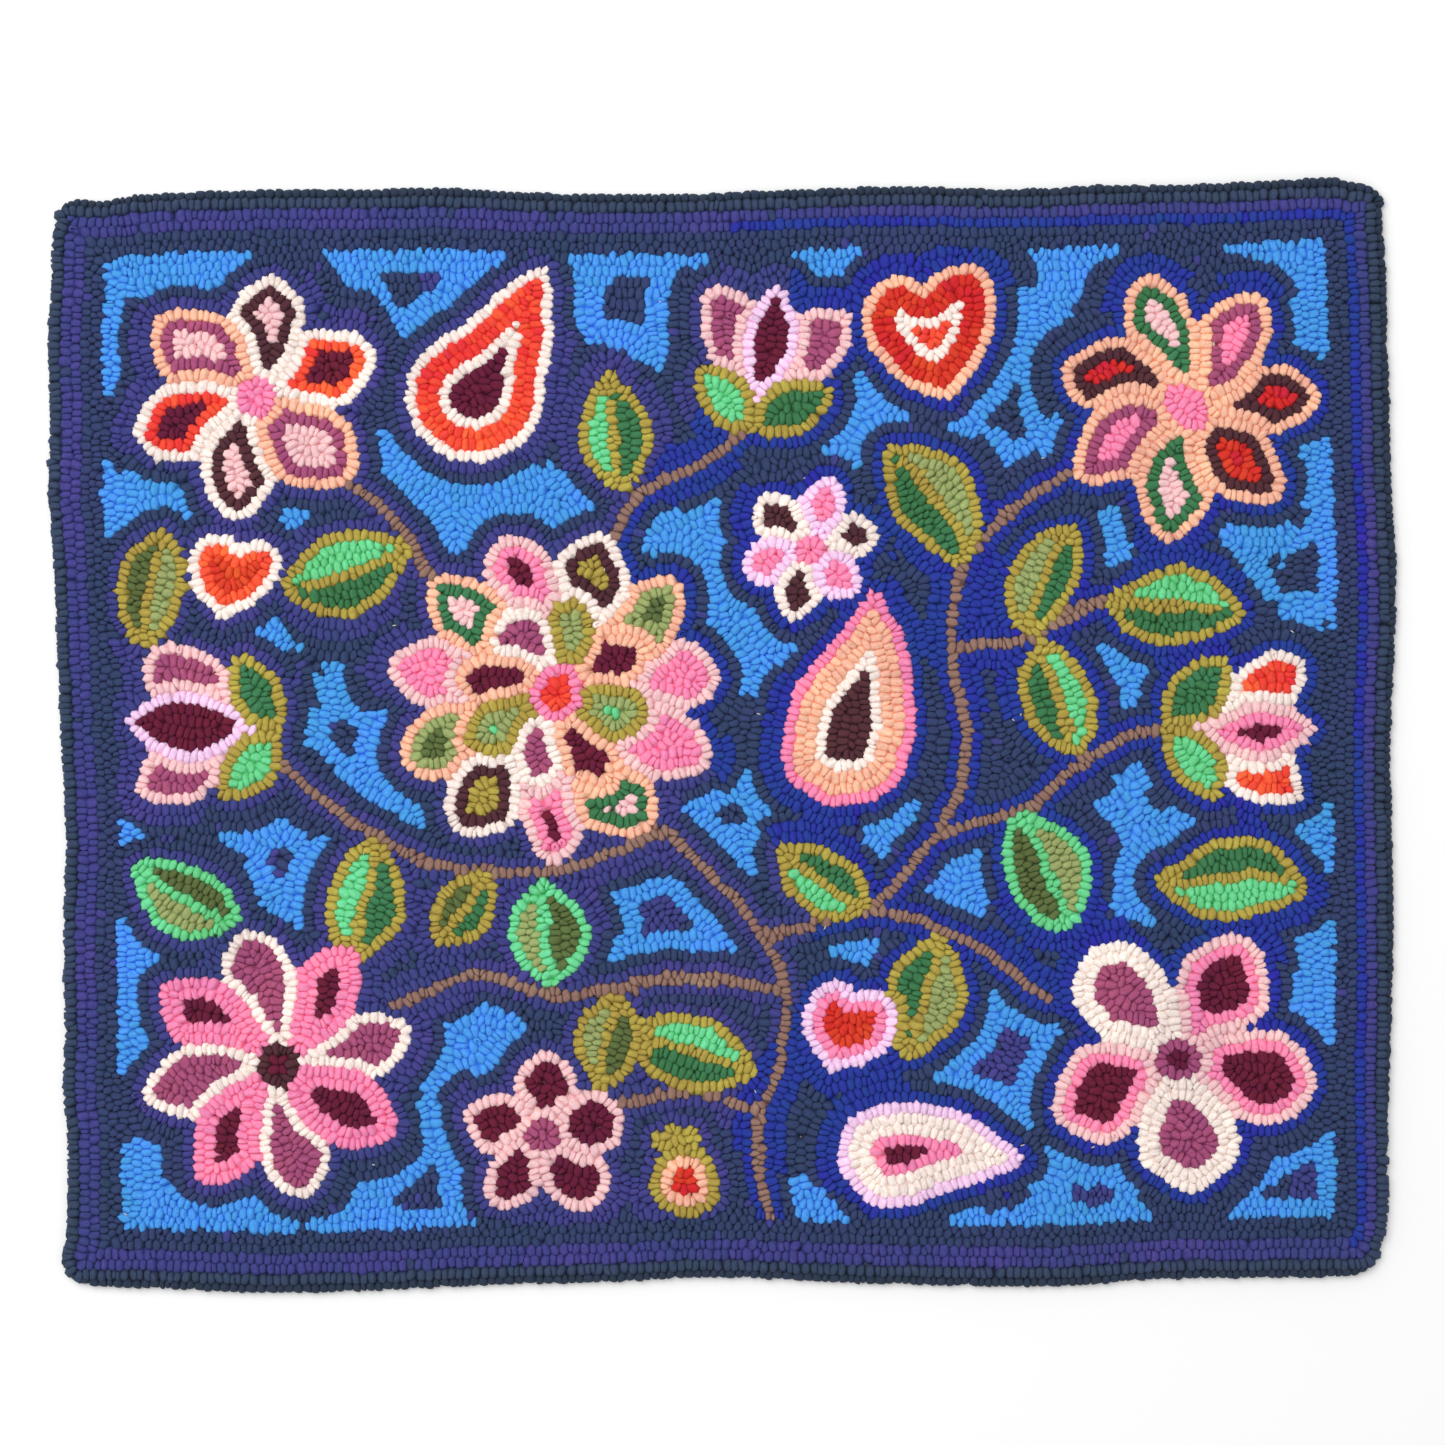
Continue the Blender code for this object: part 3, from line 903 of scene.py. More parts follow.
# %% Build a mesh from arrays
UV_NAME = "OFBake"
TILE_MARGIN = 0.04
NO_QUADS, NO_TRIANGLES = np.zeros((0, 4), int), np.zeros((0, 3), int)


def mesh_object(name, points, quads, triangles, tiles, strip):
    """A smooth mesh object in metres from arrays in millimetres."""
    mesh = bpy.data.meshes.new(name)
    mesh.vertices.add(len(points))
    mesh.vertices.foreach_set("co", (points * MM).astype(np.float32).ravel())
    corners = np.concatenate([quads.ravel(), triangles.ravel()]).astype(np.int32)
    starts = np.concatenate([np.arange(len(quads)) * 4, 4 * len(quads) + np.arange(len(triangles)) * 3])
    mesh.loops.add(len(corners))
    mesh.loops.foreach_set("vertex_index", corners)
    mesh.polygons.add(len(starts))
    mesh.polygons.foreach_set("loop_start", starts.astype(np.int32))
    mesh.update(calc_edges=True)
    mesh.shade_smooth()
    layer = mesh.uv_layers.new(name=UV_NAME)
    layer.data.foreach_set("uv", tiles[corners].astype(np.float32).ravel())
    place = mesh.attributes.new("strip", "FLOAT_VECTOR", "POINT")
    place.data.foreach_set("vector", strip.astype(np.float32).ravel())
    made = bpy.data.objects.new(name, mesh)
    bpy.context.scene.collection.objects.link(made)
    return made


def many_in_one(name, points, quads, triangles, local, strip):
    """One object of many like pieces, each with a tile of its own in one square flat map."""
    count, size = points.shape[:2]
    start = (np.arange(count) * size)[:, None, None]
    wide = math.ceil(math.sqrt(count))
    corner = np.stack([np.arange(count) % wide, np.arange(count) // wide], 1)
    tiles = (corner[:, None] + TILE_MARGIN + (1 - 2 * TILE_MARGIN) * local) / wide
    return mesh_object(name, points.reshape(-1, 3), (quads + start).reshape(-1, 4),
                       (triangles + start).reshape(-1, 3), tiles.reshape(-1, 2), strip)


def on_strip(flat, tone):
    """The place of each point across and along its strip, in mm, with the tone of its loop."""
    size = flat.shape[1]
    return np.concatenate([flat.reshape(-1, 2), np.repeat(tone, size)[:, None]], 1)


def grid_map(across, along, count):
    """The flat map of a piece whose points lie in rows, given once for each of many pieces."""
    one = np.stack(np.meshgrid(across, along), 2).reshape(1, -1, 2)
    return np.broadcast_to(one, (count, one.shape[1], 2))


def ring_quads(rings, sides):
    """The faces between rings of points that lie one above the other."""
    low = np.arange(rings * sides).reshape(rings, sides)
    beside = np.roll(low, -1, 1)
    return np.stack([low[:-1], beside[:-1], beside[1:], low[1:]], 2).reshape(-1, 4)


def fan_triangles(sides):
    """The faces from a ring of points to the one point after it."""
    side = np.arange(sides)
    return np.stack([side, np.roll(side, -1), np.full(sides, sides)], 1)


# %% Loops of one jersey
FLANK_POWER = 4
RINGS = [
    # share of the reach at the flanks and at the ends, drop in mm at the flanks and at the ends
    (1.46, 1.38, 8.6, 4.5),
    (0.88, 0.97, 1.45, 0.42),
    (0.62, 0.70, 0.38, 0.06),
]
BELOW_TOP = 0.45
PILE_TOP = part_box("hooked_pile")[1].z / MM - BELOW_TOP
PILE_BOTTOM = 2.0
TOP_UNEVENNESS = 0.32
TILT = 0.05
LEAN = 0.30
loop_top = PILE_TOP + draw.normal(0, TOP_UNEVENNESS, len(loop_at))
loop_tilt = draw.normal(0, TILT, (len(loop_at), 2))
loop_lean = draw.normal(0, LEAN, (len(loop_at), 2))
CURL_SHARE = 1 / 420
CURL_DEPTH = 2.0
is_curl = (draw.random(len(loop_at)) < CURL_SHARE) & ~loop_on_edge
loop_top[is_curl] -= CURL_DEPTH
print(int(is_curl.sum()), "cut ends of strips stand among the loops")
MAP_SIZE = 13.0
strip_frame = np.stack([across_strip, along_strip], 2)
LOOP_QUADS = ring_quads(len(RINGS), RAYS)
LOOP_FAN = fan_triangles(RAYS) + (len(RINGS) - 1) * RAYS


def around_loops(name, chosen, local, quads, triangles):
    """One object of like pieces, each given by its points around the middle of a chosen loop."""
    points = local.copy()
    points[..., :2] += loop_at[chosen, None]
    flat = np.einsum("npi,nij->npj", local[..., :2], strip_frame[chosen])
    tiles = np.clip(flat / MAP_SIZE + 0.5, 0, 1)
    return many_in_one(name, points, quads, triangles, tiles, on_strip(flat, loop_tone[chosen]))


def loops_object(name, chosen):
    """All chosen loops as one object."""
    flank = np.where(is_free[chosen], 1.0, np.sin(ray_turn[chosen]) ** FLANK_POWER)
    parts = []
    for flank_share, end_share, flank_drop, end_drop in RINGS:
        share = (end_share + (flank_share - end_share) * flank)[..., None]
        far = root_reach[chosen] if flank_share > 1 else reach[chosen]
        flat = ray[chosen] * far[..., None] * share + loop_lean[chosen, None] * (1 - share)
        drop = end_drop + (flank_drop - end_drop) * flank
        height = loop_top[chosen, None] - drop + (flat * loop_tilt[chosen, None]).sum(2)
        height = np.maximum(height, PILE_BOTTOM)
        parts.append(np.concatenate([flat, height[..., None]], 2))
    top = np.concatenate([loop_lean[chosen], loop_top[chosen, None]], 1)
    return around_loops(name, chosen, np.concatenate(parts + [top[:, None]], 1), LOOP_QUADS, LOOP_FAN)


# %% [markdown]
# Every strip starts and stops with a cut end, which is left standing in the pile. Most are lost among the
# loops, and a few curl into a little open ring. Here a ring of jersey stands on a lowered loop.

# %% Curled ends of strips
CURL_WALL = 1.15
WALL_TAPER = 0.92
CURL_SIDES = 6
CURL_RAYS = RAYS - 1
CURL_MIDDLE, CURL_OPENING = 0.60, 0.10
CURL_GIRTH = 8.0


def curls_object(name, chosen):
    """The curled strip ends among the chosen loops. Each goes round to the last ray but one."""
    count = len(chosen)
    rays = (ray[chosen] * reach[chosen][..., None])[:, :CURL_RAYS]
    outward = rays / np.linalg.norm(rays, axis=2, keepdims=True)
    around_wall = 2 * math.pi * np.arange(CURL_SIDES) / CURL_SIDES
    run = np.linspace(-1, 1, CURL_RAYS)
    wall = (CURL_WALL * np.sqrt(1 - WALL_TAPER * run ** 6))[:, None]
    middle = rays * (CURL_MIDDLE - CURL_OPENING * run[:, None])
    flat = middle[:, :, None] + (wall * np.cos(around_wall))[..., None] * outward[:, :, None]
    height = (loop_top[chosen] + CURL_DEPTH - CURL_WALL)[:, None, None] + wall * np.sin(around_wall)
    points = np.concatenate([flat + loop_at[chosen, None, None], height[..., None]], 3)
    quads = ring_quads(CURL_RAYS, CURL_SIDES)[:, [0, 3, 2, 1]]
    local = grid_map(np.arange(CURL_SIDES) / CURL_SIDES, np.arange(CURL_RAYS) / CURL_RAYS, count)
    return many_in_one(name, points.reshape(count, -1, 3), quads, NO_TRIANGLES, local,
                       on_strip(local * CURL_GIRTH, loop_tone[chosen]))


# %% [markdown]
# ## Cotton jersey
#
# T-shirt jersey is a fine knit of cotton. It has no gloss: its short fibres stand up and catch light at the
# edge of each loop, which is sheen. Knit stitches are under 1 mm and too fine to show from here, so the
# mottling is drawn at about 2 mm. The cut strip curls up along its length, which leaves soft folds that run
# along each loop. They are a bump, and the same pattern darkens the colour in each fold's hollow and
# lightens it on its ridge, which is painted shade and painted light. Each strip has also faded a little
# differently, so each loop carries its own tone.

# %% Helpers for nodes
COTTON_ROUGHNESS = 0.9


def add_node(tree, kind, settings=(), links=()):
    """Adds a node. Settings give its inputs or its properties, and links join its inputs to sockets."""
    node = tree.nodes.new(kind)
    for name, value in dict(settings).items():
        if isinstance(name, int) or name in node.inputs:
            node.inputs[name].default_value = value
        else:
            setattr(node, name, value)
    for name, socket in dict(links).items():
        tree.links.new(socket, node.inputs[name])
    return node


def new_cloth(name):
    """A material with an empty node tree, the tree, and the object's own coordinates."""
    material = bpy.data.materials.new(name)
    material.use_nodes = True
    material.node_tree.nodes.clear()
    place = add_node(material.node_tree, "ShaderNodeTexCoord").outputs["Object"]
    return material, material.node_tree, place


def finish_cloth(tree, colour, shades, height, bump, sheen):
    """The end of every cloth's tree: the shaded colour, the relief and a matt surface."""
    shaded = add_node(tree, "ShaderNodeHueSaturation", {"Color": (*linear(colour), 1.0)}, shades)
    relief = add_node(tree, "ShaderNodeBump", bump, {"Height": height})
    shader = add_node(tree, "ShaderNodeBsdfPrincipled", {"Roughness": COTTON_ROUGHNESS, **sheen},
                      {"Base Color": shaded.outputs["Color"], "Normal": relief.outputs["Normal"]})
    add_node(tree, "ShaderNodeOutputMaterial", {}, {"Surface": shader.outputs["BSDF"]})


# %% Jersey materials
MOTTLE_MM = 2.2
FUZZ_MM = 1.1
FOLD_MM = 1.3
FOLD_LENGTH_MM = 6.0
FUZZ_SHARE = 0.4
TONE_STEP = 0.045
HUE_STEP = 0.004
TONE_SPREAD = 5.0
NOISE_RANGE = (0.3, 0.7)
MOTTLE_SHADES = (0.88, 1.1)
# How far the folds darken the colour in their hollows and lighten it on their ridges: painted shade and
# light.
FOLD_PAINTED_SHADE = (0.90, 1.06)


def cotton_jersey(name, colour):
    """Matt knitted cotton: mottled, fuzzy at its edges, a little different in each loop, and with painted
    shade and light on its folds.
    """
    material, tree, place = new_cloth(name)
    mottle, fuzz = [add_node(tree, "ShaderNodeTexNoise", {"Scale": 1 / (size * MM), "Detail": detail},
                             {"Vector": place}) for size, detail in ((MOTTLE_MM, 2.0), (FUZZ_MM, 1.0))]
    strip = add_node(tree, "ShaderNodeAttribute", {"attribute_name": "strip"}).outputs["Vector"]
    tone = add_node(tree, "ShaderNodeSeparateXYZ", {}, {"Vector": strip}).outputs["Z"]
    along = add_node(tree, "ShaderNodeMapping", {"Scale": (1 / FOLD_MM, 1 / FOLD_LENGTH_MM, TONE_SPREAD)},
                     {"Vector": strip})
    folds = add_node(tree, "ShaderNodeTexNoise", {"Scale": 1.0, "Detail": 1.0},
                     {"Vector": along.outputs["Vector"]})
    value, hue = [add_node(tree, "ShaderNodeMath", {"operation": "MULTIPLY_ADD", 1: step, 2: middle},
                           {0: tone}).outputs[0] for step, middle in ((TONE_STEP, 1.0), (HUE_STEP, 0.5))]
    # The fold pattern also scales the colour, darker where its relief is low and lighter where it is high:
    # painted shade and light on the folds.
    for pattern, (darkest, lightest) in ((mottle, MOTTLE_SHADES), (folds, FOLD_PAINTED_SHADE)):
        shade = add_node(tree, "ShaderNodeMapRange",
                         {"From Min": NOISE_RANGE[0], "From Max": NOISE_RANGE[1],
                          "To Min": darkest, "To Max": lightest}, {"Value": pattern.outputs["Fac"]})
        value = add_node(tree, "ShaderNodeMath", {"operation": "MULTIPLY"},
                         {0: value, 1: shade.outputs["Result"]}).outputs[0]
    relief = add_node(tree, "ShaderNodeMath", {"operation": "MULTIPLY_ADD", 1: FUZZ_SHARE},
                      {0: fuzz.outputs["Fac"], 2: folds.outputs["Fac"]})
    finish_cloth(tree, colour, {"Hue": hue, "Value": value}, relief.outputs[0],
                 {"Strength": 0.6, "Distance": 0.5 * MM},
                 {"Sheen Weight": 0.04, "Sheen Roughness": 0.5, "Specular IOR Level": 0.1})
    return material


jersey = {name: cotton_jersey("cotton_jersey_" + name, colour) for name, colour in JERSEY.items()}

# %% Hook every jersey
FACES_OF_LOOP = 2 * len(LOOP_QUADS) + len(LOOP_FAN)


def by_jersey(wanted):
    """Each jersey that has loops among the wanted ones, and those loops."""
    for name, number in COLOUR_NUMBER.items():
        chosen = np.nonzero((loop_colour == number) & wanted)[0]
        if len(chosen):
            yield name, chosen


def dress(piece, material, slot, *nodes):
    """Gives a piece its material, lets it ride on the rug, and hides the solids it replaces. The slot is not
    used.
    """
    piece.data.materials.append(material)
    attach(piece, "root")
    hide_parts(*nodes)


for name, chosen in by_jersey(loop_colour >= 0):
    for area_name, in_area in (("border", loop_in_border), ("field", ~loop_in_border)):
        here = chosen[in_area[chosen]]
        if not len(here):
            continue
        if name == "edge_navy":
            piece = loops_object("edge_loops", here)
            dress(piece, jersey[name], "edge_strip", *EDGE_NODES)
        else:
            piece = loops_object(f"{area_name}_loops_{name}", here)
            dress(piece, jersey[name], "loops", "hooked_pile")
        print(f"{piece.name}: {len(here)} loops, {len(here) * FACES_OF_LOOP} triangles")
for name, chosen in by_jersey(is_curl):
    dress(curls_object("strip_ends_" + name, chosen), jersey[name], "loops", "hooked_pile")

# %% [markdown]
# ## The wrapped edge
#
# The edge of the cloth is turned back, and a navy strip is worked over it, turn beside turn, right round the
# rug. Each turn is a soft bar that goes over the rim and back underneath. The rim's line is where the rug's
# footprint ends, and each bar lies between two lines across it, so at the corners the bars fan out.

# %% The rim's line
BAR_STEP = 5.7
RIM_SMOOTHING = 7
RIM_POINTS = 0.5


def smooth_round(values, width):
    """The running mean along a closed line."""
    wrapped = np.concatenate([values[-width:], values, values[:width]]).reshape(len(values) + 2 * width, -1)
    kernel = np.ones(width) / width
    smooth = np.stack([np.convolve(column, kernel, "same") for column in wrapped.T], 1)
    return smooth[width:-width].reshape(values.shape)


chains = level_lines(box_blur(rug_area.astype(float), 1), 0.5)
rim = in_millimetres(max(chains, key=len)[:-1])
turning = rim[:, 0] * np.roll(rim[:, 1], -1) - np.roll(rim[:, 0], -1) * rim[:, 1]
if turning.sum() < 0:
    rim = rim[::-1]
fine = spaced(np.vstack([rim, rim[:1]]), RIM_POINTS)
for _ in range(2):
    fine = smooth_round(fine, RIM_SMOOTHING)
rim_length = float(np.hypot(*(np.roll(fine, -1, 0) - fine).T).sum())
bar_count = int(rim_length / BAR_STEP)
print("The rim is", round(rim_length), "mm long and takes", bar_count, "turns of the strip")

# %% Lines across the rim
OUT_SMOOTHING, WIDTH_SMOOTHING = 15, 25
OVERLAP = 0.6
BAR_UNEVENNESS = 0.16
RUN_REACH = 3
to_pile = distance_to(pile_area, reach=40)
step_run = np.roll(fine, -RUN_REACH, 0) - np.roll(fine, RUN_REACH, 0)
out = np.stack([step_run[:, 1], -step_run[:, 0]], 1) / np.hypot(*step_run.T)[:, None]
out = smooth_round(out, OUT_SMOOTHING)
out /= np.hypot(*out.T)[:, None]
column, row = cell_at(in_cells(fine - out * CELL / 2))
width = smooth_round(to_pile[row, column] + OVERLAP, WIDTH_SMOOTHING)
sizes = 1 + draw.normal(0, BAR_UNEVENNESS, bar_count)
edges = np.concatenate([[0], np.cumsum(sizes)]) / sizes.sum() * len(fine)


def rim_at(where):
    """Place, outward direction and strip width at a place along the rim, which runs round."""
    low = np.floor(where).astype(int)
    share = (where - low)[..., None]
    first, second = low % len(fine), (low + 1) % len(fine)
    place = fine[first] * (1 - share) + fine[second] * share
    outward = out[first] * (1 - share) + out[second] * share
    return place, outward, width[first]


# %% Bars over the rim
SECTION = [
    # share of the width from the inner side, share of the height, share of the bulge
    (0.48, 0.24, 1.0),
    (0.56, 0.50, 1.0),
    (0.65, 0.71, 1.0),
    (0.77, 0.76, 1.0),
    (0.88, 0.68, 0.8),
    (0.96, 0.50, 0.6),
    (1.00, 0.31, 0.5),
    (0.97, 0.13, 0.5),
    (0.85, 0.03, 0.6),
    (0.45, 0.02, 0.8),
    (0.12, 0.06, 0.8),
    (0.12, 0.25, 0.8),
]
BULGE = [
    # place across the bar, how far it stands out in mm
    (-1.00, -1.9),
    (-0.84, -0.7),
    (-0.46, 0.35),
    (0.00, 0.75),
    (0.46, 0.35),
    (0.84, -0.7),
    (1.00, -1.9),
]
ROLL_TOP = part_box("edge_top")[1].z / MM
ROLL_WIDTH = 13.5
LOWEST = 0.02
BAR_GIRTH = 30.0
section = np.array(SECTION)[:, :2]
bulge_share = np.array(SECTION)[:, 2]
ahead, behind = np.roll(section, -1, 0), np.roll(section, 1, 0)
section_run = (ahead - behind) * [ROLL_WIDTH, ROLL_TOP]
section_out = np.stack([-section_run[:, 1], section_run[:, 0]], 1)
section_out /= np.hypot(*section_out.T)[:, None]
bulge = np.array(BULGE)
SLANT = 0.35
OUT_UNEVENNESS = 0.3
HEIGHT_UNEVENNESS = 0.02
BULGE_UNEVENNESS = 0.18


def bars_object(name, first, last):
    """The turns of the strip from one number to another, as one object."""
    numbers = np.arange(first, last)
    count = len(numbers)
    share = (bulge[:, 0] + 1) / 2
    slant = draw.normal(0, SLANT, count)[:, None, None] * (section[:, 0] - 0.5)[:, None]
    left, right = edges[numbers][:, None, None], edges[numbers + 1][:, None, None]
    where = left + (right - left) * (share[None, None, :] + slant * (1 - bulge[:, 0] ** 2))
    place, outward, wide = rim_at(where)
    height = ROLL_TOP * (1 + draw.normal(0, HEIGHT_UNEVENNESS, count))[:, None, None]
    fullness = 1 + draw.normal(0, BULGE_UNEVENNESS, count)
    stands = bulge[:, 1] * bulge_share[:, None] * fullness[:, None, None]
    further = draw.normal(0, OUT_UNEVENNESS, count)[:, None, None] * section[:, 0][:, None]
    section_out_x, section_out_z = section_out.T[:, None, :, None]
    from_edge = -wide * (1 - section[:, 0])[None, :, None] + stands * section_out_x + further
    z = np.maximum(height * section[:, 1][None, :, None] + stands * section_out_z, LOWEST)
    points = np.concatenate([place + outward * from_edge[..., None], z[..., None]], 3)
    turns, across = len(section), len(bulge)
    cell = np.arange(turns * across).reshape(turns, across)
    after = np.roll(cell, -1, 0)
    quads = np.stack([cell[:, :-1], cell[:, 1:], after[:, 1:], after[:, :-1]], 2).reshape(-1, 4)
    local = grid_map(share, np.arange(turns) / turns, count)
    return many_in_one(name, points.reshape(count, -1, 3), quads, NO_TRIANGLES, local,
                       on_strip(local * [BAR_STEP, BAR_GIRTH], draw.normal(0, 1, count)))


# %% Wrap the four sides
CORNERS = {"edge_right": (1, -1), "edge_top": (1, 1), "edge_left": (-1, 1), "edge_bottom": (-1, -1)}
corner_at = [int(np.argmax(fine @ corner)) for corner in CORNERS.values()]
stops = [(corner - corner_at[0]) % len(fine) for corner in corner_at] + [len(fine)]
bar_middle = (edges[1:] + edges[:-1]) / 2
edges = edges + corner_at[0]
for name, low, high in zip(CORNERS, stops, stops[1:]):
    first, last = np.searchsorted(bar_middle, [low, high])
    piece = bars_object("wrapped_" + name, first, last)
    # The bars take the darker navy, which paints the shade of the turned edge into their colour.
    dress(piece, jersey["rolled_navy_painted_shade"], "edge_strip", name)
    print(piece.name, "has", last - first, "turns")

# %% [markdown]
# ## The foundation cloth
#
# The foundation is a plain-woven cotton, such as monk's cloth, with about five threads to the centimetre.
# From above it is hidden, apart from a few white threads that a hook has pulled up. From below it shows
# between the flat backs of the strips, where each one runs from loop to loop along its row.

# %% Woven cotton
THREAD_MM = 2.0
WAVE_REPEAT = 0.314


def woven_cotton(name, colour):
    """Plain-woven unbleached cotton: threads over and under, matt, with painted shade between the threads. A
    wave of scale 1 repeats in 0.314 m.
    """
    material, tree, place = new_cloth(name)
    threads = [add_node(tree, "ShaderNodeTexWave",
                        {"bands_direction": direction, "Scale": WAVE_REPEAT / (THREAD_MM * MM),
                         "Distortion": 0.4}, {"Vector": place}) for direction in ("X", "Y")]
    woven = add_node(tree, "ShaderNodeMath", {"operation": "MULTIPLY"},
                     {number: thread.outputs["Fac"] for number, thread in enumerate(threads)})
    # The colour is darker where the weave is low, between the threads, and a little lighter on them: painted
    # shade and light from the bump's own pattern.
    shade = add_node(tree, "ShaderNodeMapRange", {"To Min": 0.72, "To Max": 1.04},
                     {"Value": woven.outputs[0]})
    finish_cloth(tree, colour, {"Value": shade.outputs["Result"]}, woven.outputs[0],
                 {"Strength": 0.7, "Distance": 0.4 * MM}, {"Sheen Weight": 0.15, "Specular IOR Level": 0.2})
    return material


monks_cloth = woven_cotton("unbleached_monks_cloth", "#e4dccb")

# %% Foundation sheet
CLOTH_BOTTOM, CLOTH_TOP = 0.7, 1.9
CLOTH_INSET = 3.0
CLOTH_POINTS = 9.0
CLOTH_RINGS = [1.0, 0.999, 0.75, 0.5, 0.25]
EDGE_ROUNDING = 0.3
MAP_SHARE, SECOND_MAP = 0.48, 0.51
cloth_line = spaced(np.vstack([fine, fine[:1]]), CLOTH_POINTS)
cloth_middle = cloth_line.mean(0)
shrink = 1 - CLOTH_INSET / np.hypot(*(cloth_line - cloth_middle).T)
cloth_line = cloth_middle + (cloth_line - cloth_middle) * shrink[:, None]
count = len(cloth_line)
flat = np.vstack([cloth_middle + (cloth_line - cloth_middle) * share for share in CLOTH_RINGS]
                 + [cloth_middle])
size = len(flat)
sides = []
for height in (CLOTH_BOTTOM, CLOTH_TOP):
    level = np.full(size, height)
    level[:count] -= EDGE_ROUNDING * (height - (CLOTH_BOTTOM + CLOTH_TOP) / 2)
    sides.append(np.column_stack([flat, level]))
points = np.vstack(sides)
face = ring_quads(len(CLOTH_RINGS), count)[:, [0, 3, 2, 1]]
fan = fan_triangles(count)[:, [0, 2, 1]] + (len(CLOTH_RINGS) - 1) * count
rim_point = np.arange(count)
rim_quads = np.stack([rim_point, np.roll(rim_point, -1)], 1)
quads = np.vstack([face, face[:, ::-1] + size, np.hstack([rim_quads, rim_quads[:, ::-1] + size])])
flat_map = (points[:, :2] / (CAD_SIZE[0] / MM) + 0.5) * [MAP_SHARE, 2 * MAP_SHARE]
flat_map[size:, 0] += SECOND_MAP
foundation = mesh_object("foundation_weave", points, quads, np.vstack([fan, fan[:, ::-1] + size]), flat_map,
                         np.zeros((len(points), 3)))
dress(foundation, monks_cloth, "foundation", "foundation_cloth")
print("The foundation has", count, "points along its edge")

# %% [markdown]
# Here and there the hook has caught a foundation thread and pulled it up with the loop. It shows in the pile
# as a short white fleck, 2 to 4 mm long, lying in the crease between two loops.

# %% Cotton flecks
FLECKS = 20
FLECK_SIDES = 5
FLECK_RADIUS = 0.5
FLECK_LENGTHS = (2.0, 3.8)
FLECK_DEPTH, FLECK_RISE = 0.9, 0.7
FLECK_SLANT = 0.4
fleck_share = np.array([0.0, 0.3, 0.7, 1.0])
fleck_swell = np.array([0.35, 1.0, 0.9, 0.3])
fleck_loops = draw.choice(np.nonzero(~loop_on_edge)[0], FLECKS, replace=False)
fleck_ray = draw.integers(0, RAYS, FLECKS)
crease = (ray * reach[..., None])[fleck_loops, fleck_ray]
crease_run = np.stack([-crease[:, 1], crease[:, 0]], 1) / np.linalg.norm(crease, axis=1, keepdims=True)
crease_run += draw.normal(0, FLECK_SLANT, crease_run.shape)
fleck_length = draw.uniform(*FLECK_LENGTHS, FLECKS)
around_fleck = 2 * math.pi * np.arange(FLECK_SIDES) / FLECK_SIDES
points = []
for at, run, length in zip(loop_at[fleck_loops] + crease, crease_run, fleck_length):
    run = run / np.hypot(*run)
    side = np.array([-run[1], run[0]])
    for share, swell in zip(fleck_share, fleck_swell):
        middle = at + run * length * (share - 0.5)
        height = PILE_TOP - FLECK_DEPTH + FLECK_RISE * math.sin(math.pi * share)
        for angle in around_fleck:
            flat = middle + side * FLECK_RADIUS * swell * math.cos(angle)
            points.append((*flat, height + FLECK_RADIUS * swell * math.sin(angle)))
points = np.array(points).reshape(FLECKS, -1, 3)
local = np.random.default_rng(21).random((*points.shape[:2], 2))
flecks = many_in_one("cotton_flecks", points, ring_quads(len(fleck_share), FLECK_SIDES), NO_TRIANGLES,
                     local, np.zeros((points.size // 3, 3)))
dress(flecks, monks_cloth, "foundation", "foundation_cloth")
print(FLECKS, "flecks of foundation thread")

# %% Flat backs of the strips
BACK_BOTTOM, BACK_TOP = 0.06, CLOTH_BOTTOM + 0.1
BACK_SIDES = 4
HALF_BACK = (0.47, 0.98)
back_turn = 2 * math.pi * (np.arange(BACK_SIDES) + 0.5) / BACK_SIDES


def backs_object(name, chosen):
    """The flat stitches under the chosen loops, each longest along its row."""
    count = len(chosen)
    flat = (HALF_BACK[0] * loop_pitch[chosen, None, None] * np.cos(back_turn)[:, None]
            * along_strip[chosen, None] + HALF_BACK[1] * loop_step[chosen, None, None]
            * np.sin(back_turn)[:, None] * across_strip[chosen, None])
    corners = np.concatenate([flat, np.full((count, BACK_SIDES, 1), BACK_TOP)], 2)
    middle = np.tile([[[0.0, 0.0, BACK_BOTTOM]]], (count, 1, 1))
    return around_loops(name, chosen, np.concatenate([corners, middle], 1), NO_QUADS,
                        fan_triangles(BACK_SIDES)[:, [1, 0, 2]])


# %% Back every jersey
back_count = 0
for name, chosen in by_jersey(~loop_on_edge):
    dress(backs_object("stitch_backs_" + name, chosen), jersey[name], "loops", "hooked_pile")
    back_count += 1
print(back_count, "sets of stitch backs")

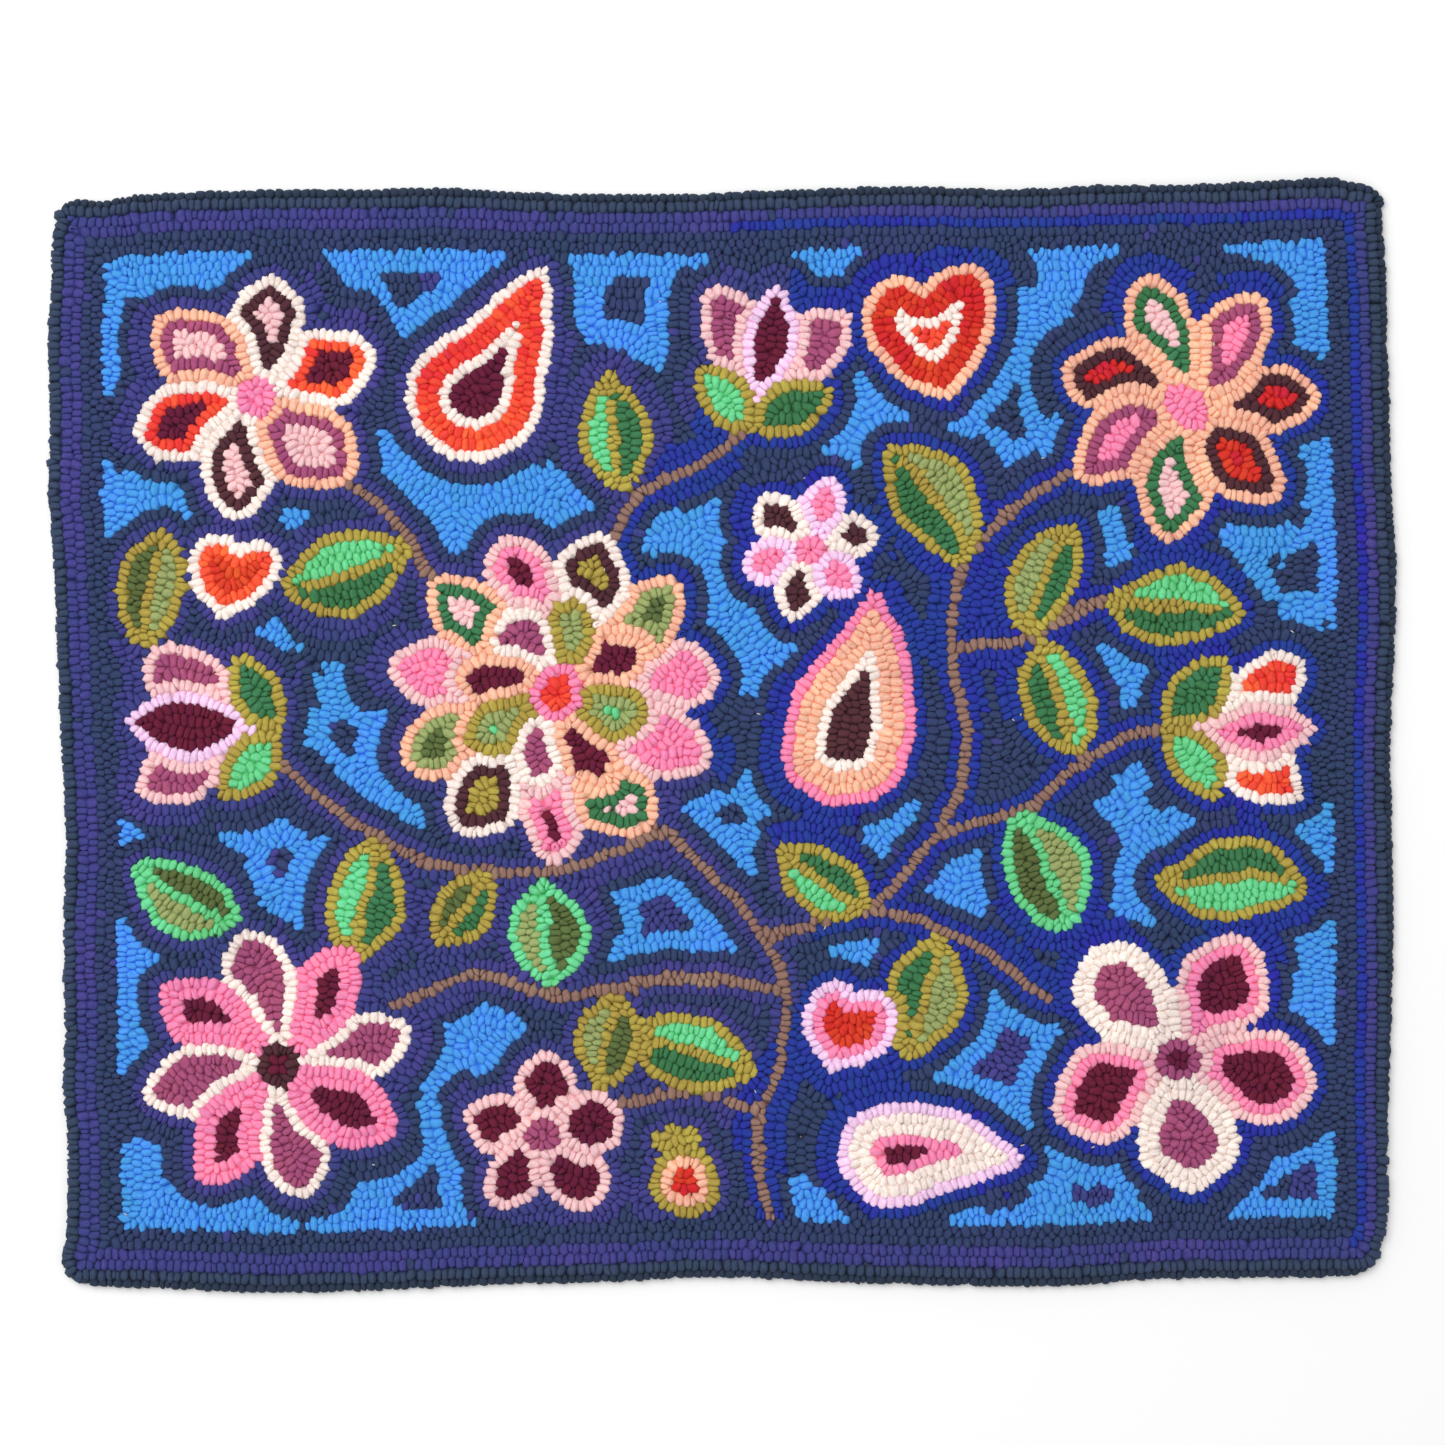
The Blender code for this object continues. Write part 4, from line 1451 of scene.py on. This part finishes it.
# %% [markdown]
# ## Floor, light and camera
#
# The photograph is taken from straight above on white, in soft light from a little to the upper left.

# %% Floor
FLOOR_SIZE = 8.0
bpy.ops.mesh.primitive_plane_add(size=FLOOR_SIZE)
floor = bpy.context.object
floor.name = "floor"
pale_board = bpy.data.materials.new("pale_matt_board")
pale_board.use_nodes = True
board = pale_board.node_tree.nodes["Principled BSDF"]
board.inputs["Base Color"].default_value = (*linear("#fdfdfd"), 1.0)
board.inputs["Roughness"].default_value = 0.9
floor.data.materials.append(pale_board)

# %% Light
ROOM_LIGHT = 0.60
SOFTBOX_SIZE = 3.0
SOFTBOX_WATTS = 98
SOFTBOX_PLACE = (-1.3, 1.3, 3.4)
SOFTBOX_TILT = math.radians(21)
world = bpy.data.worlds.new("soft_room")
world.use_nodes = True
background = world.node_tree.nodes["Background"]
background.inputs["Color"].default_value = (1, 1, 1, 1)
background.inputs["Strength"].default_value = ROOM_LIGHT
bpy.context.scene.world = world
lamp = bpy.data.lights.new("softbox", "AREA")
lamp.shape = "RECTANGLE"
lamp.size, lamp.size_y = SOFTBOX_SIZE, SOFTBOX_SIZE
lamp.energy = SOFTBOX_WATTS
softbox = bpy.data.objects.new("softbox", lamp)
softbox.location = SOFTBOX_PLACE
softbox.rotation_euler = (-SOFTBOX_TILT, -SOFTBOX_TILT, 0)
bpy.context.scene.collection.objects.link(softbox)
# Blender's default view transform fades strong colours, and Standard shows them as they are.
bpy.context.scene.view_settings.view_transform = "Standard"

# %% Camera
# The picture is 0.991 m wide at the height of the pile, and its middle is a little above the rug's.
PHOTO_WIDTH = 0.991
PHOTO_CENTRE = (0.0, 0.0086)
LENS, SENSOR = 100.0, 36.0
camera = bpy.data.objects.new("camera", bpy.data.cameras.new("camera"))
camera.data.lens = LENS
camera.data.sensor_width = SENSOR
camera.location = (*PHOTO_CENTRE, PHOTO_WIDTH * LENS / SENSOR + PILE_TOP * MM)
bpy.context.scene.collection.objects.link(camera)
bpy.context.scene.camera = camera
